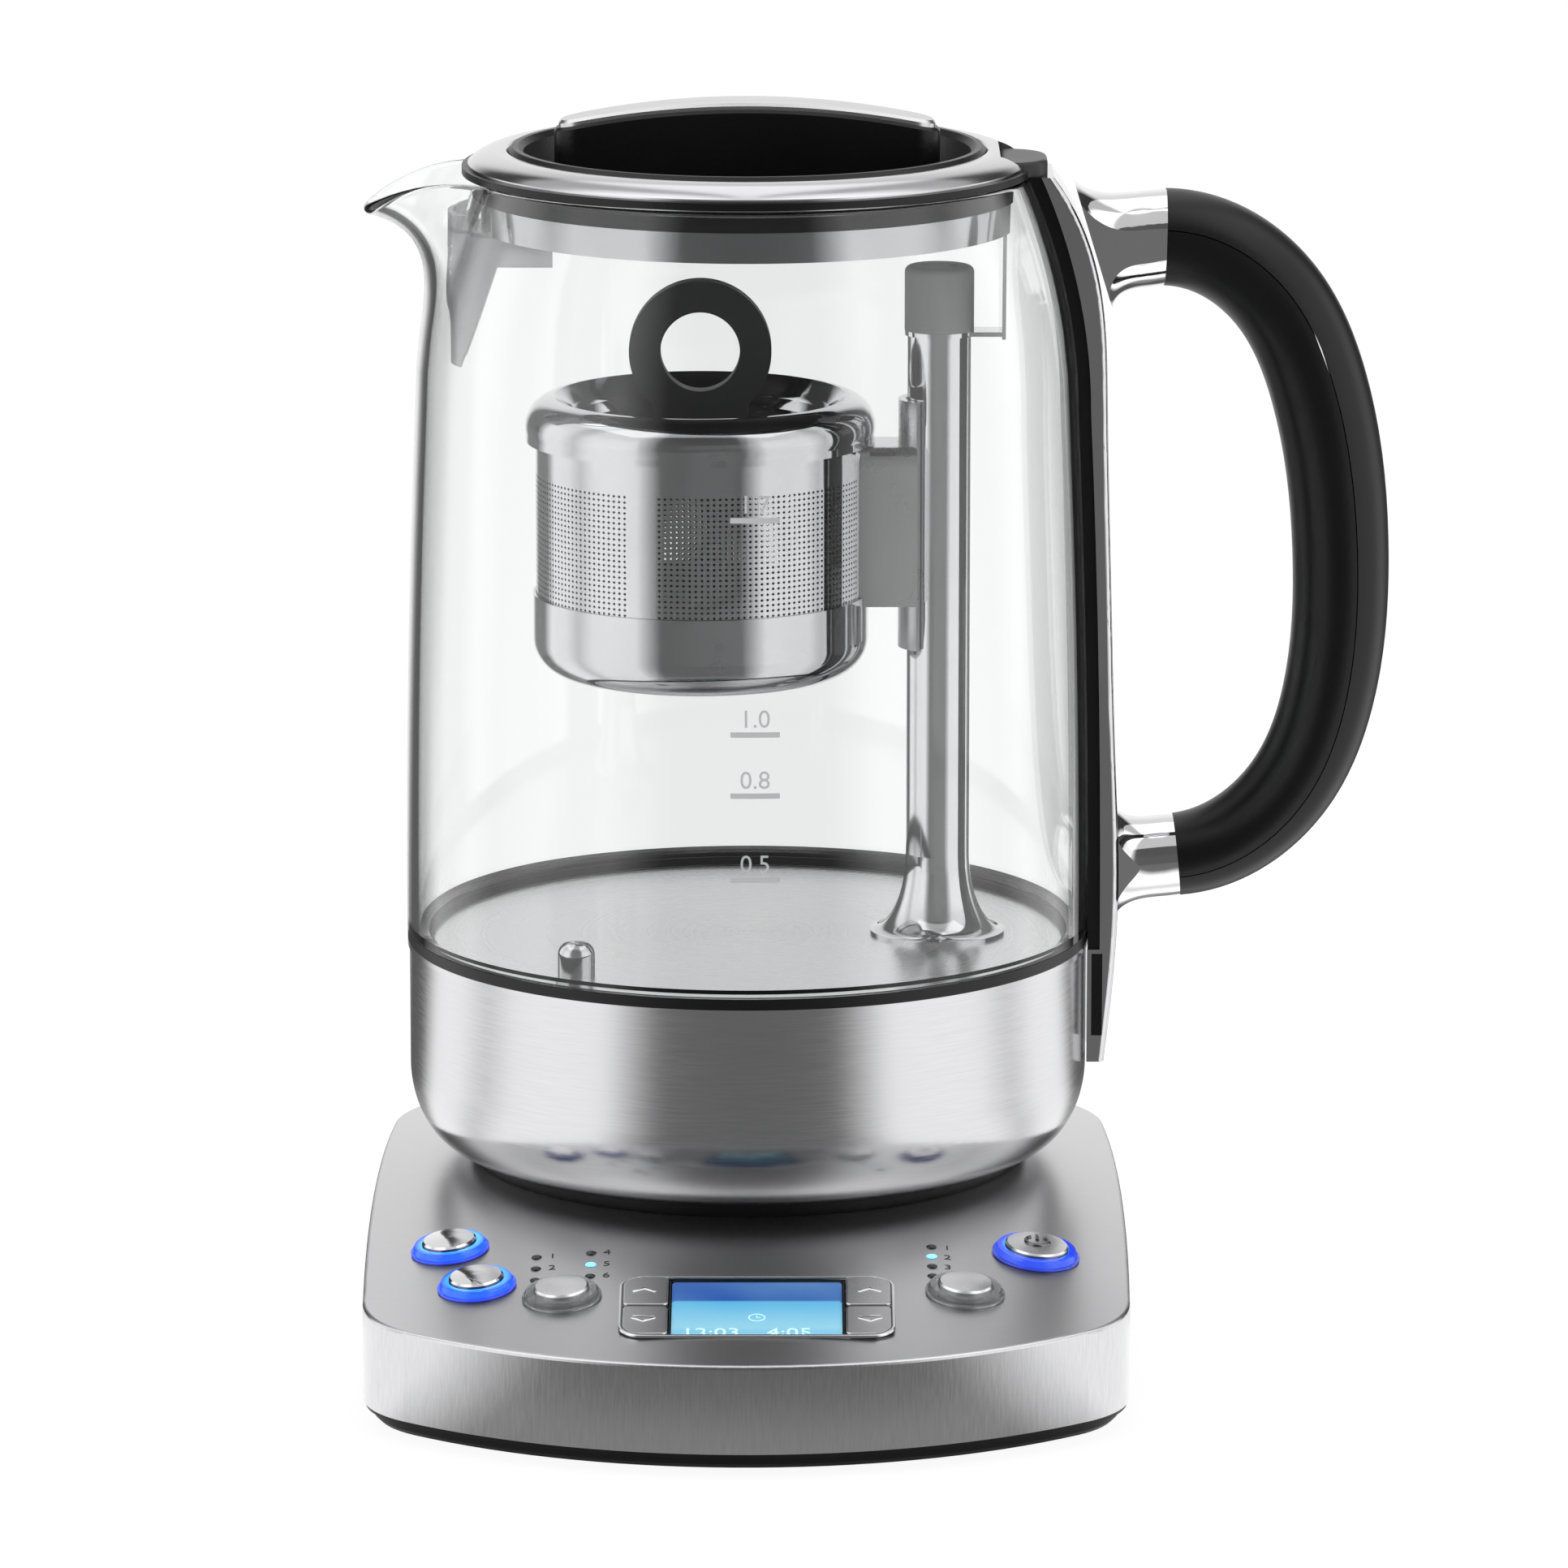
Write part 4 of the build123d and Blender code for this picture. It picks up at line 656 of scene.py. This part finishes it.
# perforated wall of the basket, bare at two side strips and behind the bracket
meshWall = {"x": -10.3, "radius": 36.2, "gauge": 0.42, "low": 158.0, "high": 196.6, "holesLow": 161.6,
            "holesHigh": 190.0, "around": 172, "rows": 24, "inset": 0.30, "corner": 0.26, "stripAngle": 109.0,
            "stripHalf": 5.2, "bracketHalf": 18.0}


def perforatedWall():
    w = meshWall
    bpy.ops.mesh.primitive_cylinder_add(vertices=w["around"], radius=w["radius"] * mm,
                                        depth=(w["holesHigh"] - w["holesLow"]) * mm, end_fill_type="NOTHING",
                                        location=(w["x"] * mm, 0, (w["holesHigh"] + w["holesLow"]) / 2 * mm))
    piece = nameNew("basketMesh")
    bakePlace(piece)
    pick(piece, "EDGE", lambda e: edgeSpan(piece, e, "Z") > 0.01)
    bpy.ops.mesh.subdivide(number_cuts=w["rows"] - 1)
    for start, end in ((w["holesHigh"], w["high"]), (w["holesLow"], w["low"])):
        pick(piece, "EDGE", lambda e: all(abs(p.z - start * mm) < 1e-5 for p in edgeEnds(piece, e)))
        bpy.ops.mesh.extrude_edges_move(TRANSFORM_OT_translate={"value": (0, 0, (end - start) * mm)})

    def inBand(face):
        c = face.center
        turn = math.degrees(math.atan2(-c.y, c.x - w["x"] * mm))
        strip = abs(abs(turn) - w["stripAngle"]) < w["stripHalf"]
        bracket = abs(turn) < w["bracketHalf"]
        return w["holesLow"] * mm < c.z < w["holesHigh"] * mm and not strip and not bracket
    pick(piece, "FACE", inBand)
    bpy.ops.mesh.inset(thickness=w["inset"] * mm, use_individual=True)
    bpy.ops.mesh.bevel(offset=w["corner"] * mm, affect="VERTICES")
    leaveEdit()
    pick(piece, "FACE", lambda f: len(f.vertices) == 8 and inBand(f))
    bpy.ops.mesh.delete(type="FACE")
    leaveEdit()
    applyModifier(piece, "SOLIDIFY", thickness=w["gauge"] * mm, offset=-1)
    return piece


def facesAxis(face):
    # an inner face, which looks towards the basket's axis
    return (face.center.x - meshWall["x"] * mm) * face.normal.x + face.center.y * face.normal.y < 0


basket = perforatedWall()
finishPiece(basket, "basket", mirrorSteel, smooth=30)
# the faces that look towards the axis get the dark steel, which is painted shade inside the basket
basket.data.materials.append(innerPaintedShade)
for face in basket.data.polygons:
    face.material_index = int(facesAxis(face))
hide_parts("basket_wall")
print("basket wall has", len(basket.data.polygons), "faces")


# text and flat signs
def solidText(name, text, place, turn, values):
    bpy.ops.object.text_add(location=[v * mm for v in place], rotation=(math.radians(turn), 0, 0))
    words = nameNew(name)
    words.data.body = text
    words.data.align_x = "CENTER"
    for key, value in values.items():
        setattr(words.data, key, value)
    focus(words)
    bpy.ops.object.convert(target="MESH")
    bakePlace(words)
    return words


def flatText(text, x, y, size, depth):
    values = {"align_y": "CENTER", "size": size * mm, "extrude": depth / 2 * mm, "resolution_u": 3}
    return solidText("flatText", text, (x, y, 0), 0, values)


def bar(x, y, length, width, deep, turn=0.0):
    # flat bar with its upper rim bevelled
    bpy.ops.mesh.primitive_cube_add(size=1, location=(x * mm, y * mm, 0), rotation=(0, 0, math.radians(turn)))
    piece = nameNew("bar")
    piece.scale = (length * mm, width * mm, deep * mm)
    bakePlace(piece)
    pick(piece, "EDGE", lambda e: all(p.z > 0 for p in edgeEnds(piece, e)))
    bpy.ops.mesh.bevel(offset=min(width, deep) * 0.25 * mm, segments=2, affect="EDGES")
    leaveEdit()
    return piece


# level marks on the glass: plain numbers over short lines
levelMarks = {"x": 1.9, "line": 10.5, "thick": 1.15, "depth": 0.12, "height": 5.4, "above": 1.6, "lift": 0.08,
              "levels": {"1.7": 191.5, "1.0": 145.6, "0.8": 132.4, "0.5": 114.2}}


def wrapToGlass(piece, lift):
    # lays a flat upright mesh on the front of the glass
    for v in piece.data.vertices:
        z = v.co.z
        radius = wallRadius(z / mm) * mm + lift - v.co.y
        angle = v.co.x / (wallRadius(z / mm) * mm)
        v.co = (radius * math.sin(angle), -radius * math.cos(angle), z)


def printLevel(text, z):
    m = levelMarks
    values = {"size": m["height"] * mm, "extrude": m["depth"] / 2 * mm, "resolution_u": 4}
    words = solidText("level", text, (m["x"], 0, z + m["above"]), 90, values)
    bpy.ops.mesh.primitive_cube_add(size=1, location=(m["x"] * mm, 0, z * mm))
    line = nameNew("line")
    line.scale = (m["line"] * mm, m["depth"] * mm, m["thick"] * mm)
    bakePlace(line)
    pick(line, "EDGE", lambda e: edgeSpan(line, e, "X") > 0.005)
    bpy.ops.mesh.subdivide(number_cuts=5)
    leaveEdit()
    piece = joinPieces([words, line], "level" + text.replace(".", "_"))
    wrapToGlass(piece, m["lift"] * mm)
    finishPiece(piece, "jug", levelPrint)


for text, z in levelMarks["levels"].items():
    printLevel(text, z)
print("level marks are on")


# the base's sloping top, where the signs lie
coverShape = {"seatZ": 36.3, "flat": 62.0, "slope": 0.16}


def coverZ(x, y):
    return coverShape["seatZ"] - coverShape["slope"] * (math.hypot(x, y) - coverShape["flat"])


def panelZ(x, y):
    # the display and its keys slope to the front only
    return coverZ(0, y)


def drape(piece, height, lift):
    # lifts a flat mesh on to a sloping surface
    for v in piece.data.vertices:
        v.co.z += (height(v.co.x / mm, v.co.y / mm) + lift) * mm


# thin bright frame round the display and its keys
panelTrim = {"x": 2.3, "y": -107.9, "length": 58.4, "depth": 30.4, "corner": 5.4, "width": 0.75, "rise": 0.5,
             "edge": 0.16, "lift": -0.02}


def trimPanel():
    t = panelTrim
    bpy.ops.mesh.primitive_plane_add(size=1, location=(t["x"] * mm, t["y"] * mm, 0))
    piece = nameNew("panelTrim")
    piece.scale = (t["length"] * mm, t["depth"] * mm, 1)
    bakePlace(piece)
    pick(piece, "VERT", lambda v: True)
    bpy.ops.mesh.bevel(offset=t["corner"] * mm, segments=10, affect="VERTICES")
    leaveEdit()
    pick(piece, "FACE", lambda f: True)
    bpy.ops.mesh.inset(thickness=t["width"] * mm)
    bpy.ops.mesh.delete(type="FACE")
    bpy.ops.mesh.select_all(action="SELECT")
    bpy.ops.mesh.extrude_region_move(TRANSFORM_OT_translate={"value": (0, 0, t["rise"] * mm)})
    leaveEdit()
    pickSharp(piece, t["rise"] / 2 * mm)
    bpy.ops.mesh.bevel(offset=t["edge"] * mm, segments=3, affect="EDGES")
    leaveEdit()
    drape(piece, panelZ, t["lift"])
    finishPiece(piece, "base", chrome)


# lights: small clear beads over the light pipes, with plain numbers beside them
lightRows = [(-45.0, (-77.9, -84.1, -90.2)), (-33.3, (-77.7, -83.8, -89.8)),
             (39.7, (-73.2, -78.4, -83.7, -88.8))]
lightBeads = {"radius": 1.15, "rise": 0.42, "sink": 0.25}
lightNumbers = {"shift": 3.4, "size": 3.4, "depth": 0.06, "lift": 0.02}


def beadLights():
    pieces = []
    for x, rows in lightRows:
        for y in rows:
            bpy.ops.mesh.primitive_uv_sphere_add(segments=24, ring_count=12, radius=lightBeads["radius"] * mm,
                                                 location=(x * mm, y * mm, coverZ(x, y) * mm))
            bead = nameNew("bead")
            bead.scale.z = lightBeads["rise"]
            bakePlace(bead)
            pick(bead, "FACE", lambda f: True)
            foot = (x * mm, y * mm, (coverZ(x, y) - lightBeads["sink"]) * mm)
            bpy.ops.mesh.bisect(plane_co=foot, plane_no=(0, 0, 1), clear_inner=True, use_fill=True)
            leaveEdit()
            pieces.append(bead)
    finishPiece(joinPieces(pieces, "lightBeads"), "base", lightPipe, smooth=50)


def numberLights():
    look = lightNumbers
    count = 0
    pieces = []
    for x, rows in lightRows:
        if x > 0:
            count = 0  # the right-hand lights start again at 1
        for y in rows:
            count += 1
            pieces.append(flatText(str(count), x + look["shift"], y, look["size"], look["depth"]))
    piece = joinPieces(pieces, "lightNumbers")
    drape(piece, coverZ, look["lift"])
    finishPiece(piece, "base", darkPrint)


# arrows on the keys: the lower ones have a bar over the arrow
keySigns = {"x": 23.9, "panelX": 2.3, "panelY": -107.9, "stepY": 7.4, "half": 2.3, "tall": 1.5, "thick": 0.5,
            "deep": 0.35, "lift": 0.62, "barY": 1.7}


def signKey(side, up):
    k = keySigns
    x, y = k["panelX"] + side * k["x"], k["panelY"] + up * k["stepY"]
    slope = math.degrees(math.atan2(k["tall"], k["half"]))
    length = math.hypot(k["tall"], k["half"]) + k["thick"] * 0.6
    pieces = [bar(x + s * k["half"] / 2, y, length, k["thick"], k["deep"], -s * up * slope) for s in (-1, 1)]
    if up < 0:
        pieces.append(bar(x, y + k["barY"], 2 * k["half"], k["thick"], k["deep"]))
    piece = joinPieces(pieces, "sign" + ("Left", "Right")[side > 0] + ("Down", "Up")[up > 0])
    drape(piece, panelZ, k["lift"])
    body = ("left", "right")[side > 0] + ("_down", "_up")[up > 0] + "_key"
    finishPiece(piece, body, chrome)


# open ring and bar on the power button's domed cap
powerSign = {"x": 62.2, "y": -72.6, "ring": 2.5, "tube": 0.38, "open": 32.0, "bar": 2.6, "barOut": 0.75,
             "rise": 3.1, "sink": 0.25, "brow": 6.45, "dome": 0.4}


def signPower():
    p = powerSign
    bpy.ops.mesh.primitive_torus_add(major_radius=p["ring"] * mm, minor_radius=p["tube"] * mm,
                                     major_segments=64, minor_segments=10,
                                     location=(p["x"] * mm, p["y"] * mm, 0))
    ring = nameNew("powerRing")
    bakePlace(ring)

    def gap(face):
        turn = math.degrees(math.atan2(face.center.y - p["y"] * mm, face.center.x - p["x"] * mm))
        return abs(turn - 90) < p["open"]
    pick(ring, "FACE", gap)
    bpy.ops.mesh.delete(type="FACE")
    bpy.ops.mesh.select_all(action="SELECT")
    bpy.ops.mesh.fill_holes(sides=10)
    leaveEdit()
    stroke = bar(p["x"], p["y"] + p["ring"] * p["barOut"], p["tube"] * 2, p["bar"], p["tube"] * 2)
    piece = joinPieces([ring, stroke], "powerSign")
    far = math.hypot(p["x"], p["y"])
    tilt = coverShape["slope"] * p["rise"] / far

    def capZ(x, y):
        # the sign was shifted by the cap's tilt, so its own place is taken back first
        dx, dy = x - tilt * p["x"] - p["x"], y - tilt * p["y"] - p["y"]
        fall = coverShape["slope"] * (dx * p["x"] + dy * p["y"]) / far
        return coverZ(p["x"], p["y"]) - fall + p["dome"] * (1 - (dx * dx + dy * dy) / p["brow"] ** 2)
    for v in piece.data.vertices:
        v.co.x += tilt * p["x"] * mm
        v.co.y += tilt * p["y"] * mm
    drape(piece, capZ, p["rise"] - p["sink"])
    finishPiece(piece, "power_button", signSteel)


# plain times and a clock sign on the display
screenSigns = {"lift": -1.75, "time": (-7.4, -118.9), "other": (9.2, -118.9), "size": 5.6, "depth": 0.05,
               "clock": (2.3, -111.4), "radius": 1.7, "tube": 0.14, "upHand": 0.9, "sideHand": 0.8,
               "hand": 0.22, "handDeep": 0.1}


def signScreen():
    s = screenSigns
    pieces = [flatText("12:03", *s["time"], s["size"], s["depth"]),
              flatText("4:05", *s["other"], s["size"], s["depth"])]
    x, y = s["clock"]
    bpy.ops.mesh.primitive_torus_add(major_radius=s["radius"] * mm, minor_radius=s["tube"] * mm,
                                     major_segments=40, minor_segments=6, location=(x * mm, y * mm, 0))
    ring = nameNew("clock")
    bakePlace(ring)
    pieces += [ring, bar(x, y + s["upHand"] / 2, s["hand"], s["upHand"], s["handDeep"]),
               bar(x + s["sideHand"] / 2, y, s["sideHand"], s["hand"], s["handDeep"])]
    piece = joinPieces(pieces, "screenSigns")
    drape(piece, panelZ, s["lift"])
    finishPiece(piece, "base", digitWhite)


trimPanel()
beadLights()
numberLights()
for side in (-1, 1):
    for up in (-1, 1):
        signKey(side, up)
signPower()
signScreen()
print("signs are on")


# floor and world: white behind, black flags beside it, light panels at both sides, and a dark front
studio = {"floor": 6.0, "floorTone": (0.86, 0.86, 0.86), "white": 1.06, "whiteShare": 0.88,
          "mirrorShare": 0.92, "near": (0.30, 0.17, 0.24),
          "around": [(180, 1.03), (163, 1.03), (154, 0.05), (132, 0.05), (120, 1.4), (103, 1.4), (90, 0.9),
                     (77, 1.4), (44, 1.4), (27, 0.15), (0, 0.13)],
          "overhead": (0.30, 0.60, 0.85)}
topBox = {"place": (0, 0.1, 1.7), "target": (0, 0, 0.1), "size": (3.0, 2.6), "power": 14}
view = {"place": (0.00803, -1.9, 0.5206), "tilt": 78.07, "lens": 201.6, "sensor": 36}


def aroundRamp(owner, reach, y):
    # light level round the object, by the turn from the front at 0 to the back at 180
    facing = addMath(owner, "DIVIDE", y, addMath(owner, "MAXIMUM", reach, 0.001))
    share = addRange(owner, facing, 1.0, 0.0, -1.0, 1.0)
    stops = [((math.cos(math.radians(turn)) + 1) / 2, (level,) * 3) for turn, level in studio["around"]]
    return fillRamp(owner, share, stops)


def layFloor():
    bpy.ops.mesh.primitive_plane_add(size=studio["floor"], location=(0, 0, 0))
    floor = nameNew("studioFloor")
    material, shader = startMaterial("floorPaper", {"Roughness": 0.9, "Specular IOR Level": 0.1})
    mottle = addNoise(material, objectCoords(material), 3.0, 2.0)
    tone = studio["floorTone"]
    join(material, addBlend(material, mottle, tone, scaleTone(tone, 0.99)), shader.inputs["Base Color"])
    place = splitVector(material, objectCoords(material))
    reach = planRadius(material, place["X"], place["Y"])
    around = aroundRamp(material, reach, place["Y"])
    level, start, end = studio["near"]
    near = addRange(material, reach, level, 0.0, start, end)
    path = addNode(material, "LightPath")
    bent = addMath(material, "MAXIMUM", path.outputs["Is Glossy Ray"], path.outputs["Is Transmission Ray"])
    seen = addMath(material, "MAXIMUM",
                   addMath(material, "MULTIPLY", path.outputs["Is Camera Ray"], studio["whiteShare"]),
                   addMath(material, "MULTIPLY", bent, studio["mirrorShare"]))
    mirrored = addMath(material, "MINIMUM", path.outputs["Glossy Depth"], 1.0)
    shown = addMath(material, "MAXIMUM", around, near)
    white = addNode(material, "Emission")
    join(material, addBlend(material, mirrored, studio["white"], shown, "FLOAT"), white.inputs["Strength"])
    mix = addNode(material, "MixShader")
    join(material, seen, mix.inputs[0])
    join(material, shader.outputs[0], mix.inputs[1])
    join(material, white.outputs[0], mix.inputs[2])
    join(material, mix.outputs[0], material.node_tree.nodes["Material Output"].inputs["Surface"])
    floor.data.materials.append(material)


def lightTheWorld():
    world = bpy.data.worlds.new("studioWorld")
    bpy.context.scene.world = world
    world.use_nodes = True
    back = world.node_tree.nodes["Background"]
    back.inputs["Color"].default_value = (1, 1, 1, 1)
    place = splitVector(world, addNode(world, "TexCoord").outputs["Generated"])
    around = aroundRamp(world, planRadius(world, place["X"], place["Y"]), place["Y"])
    start, end, least = studio["overhead"]
    above = addNode(world, "MapRange")
    above.interpolation_type = "SMOOTHSTEP"
    for slot, value in (("From Min", start), ("From Max", end), ("To Min", 1.0), ("To Max", least)):
        above.inputs[slot].default_value = value
    join(world, place["Z"], above.inputs["Value"])
    light = addMath(world, "MULTIPLY", around, above.outputs["Result"])
    path = addNode(world, "LightPath")
    bounced = addMath(world, "ADD", path.outputs["Glossy Depth"], path.outputs["Diffuse Depth"])
    straight = addMath(world, "LESS_THAN", bounced, 0.5)
    through = addMath(world, "MULTIPLY", path.outputs["Is Transmission Ray"], straight)
    white = addMath(world, "MAXIMUM", path.outputs["Is Camera Ray"], through)
    join(world, addBlend(world, white, light, 1.0, "FLOAT"), back.inputs["Strength"])


def hangSoftBox():
    bpy.ops.object.light_add(type="AREA", location=topBox["place"])
    lamp = bpy.context.object
    lamp.name = "topBox"
    lamp.data.shape = "RECTANGLE"
    lamp.data.size, lamp.data.size_y = topBox["size"]
    lamp.data.energy = topBox["power"]
    aim = Vector(topBox["target"]) - Vector(topBox["place"])
    lamp.rotation_euler = aim.to_track_quat("-Z", "Y").to_euler()


def setCamera():
    bpy.ops.object.camera_add(location=view["place"], rotation=(math.radians(view["tilt"]), 0, 0))
    camera = bpy.context.object
    camera.data.lens = view["lens"]
    camera.data.sensor_width = view["sensor"]
    bpy.context.scene.camera = camera


deselectAll()
layFloor()
lightTheWorld()
hangSoftBox()
setCamera()
bpy.context.scene.view_settings.view_transform = "Standard"
print("studio is set")
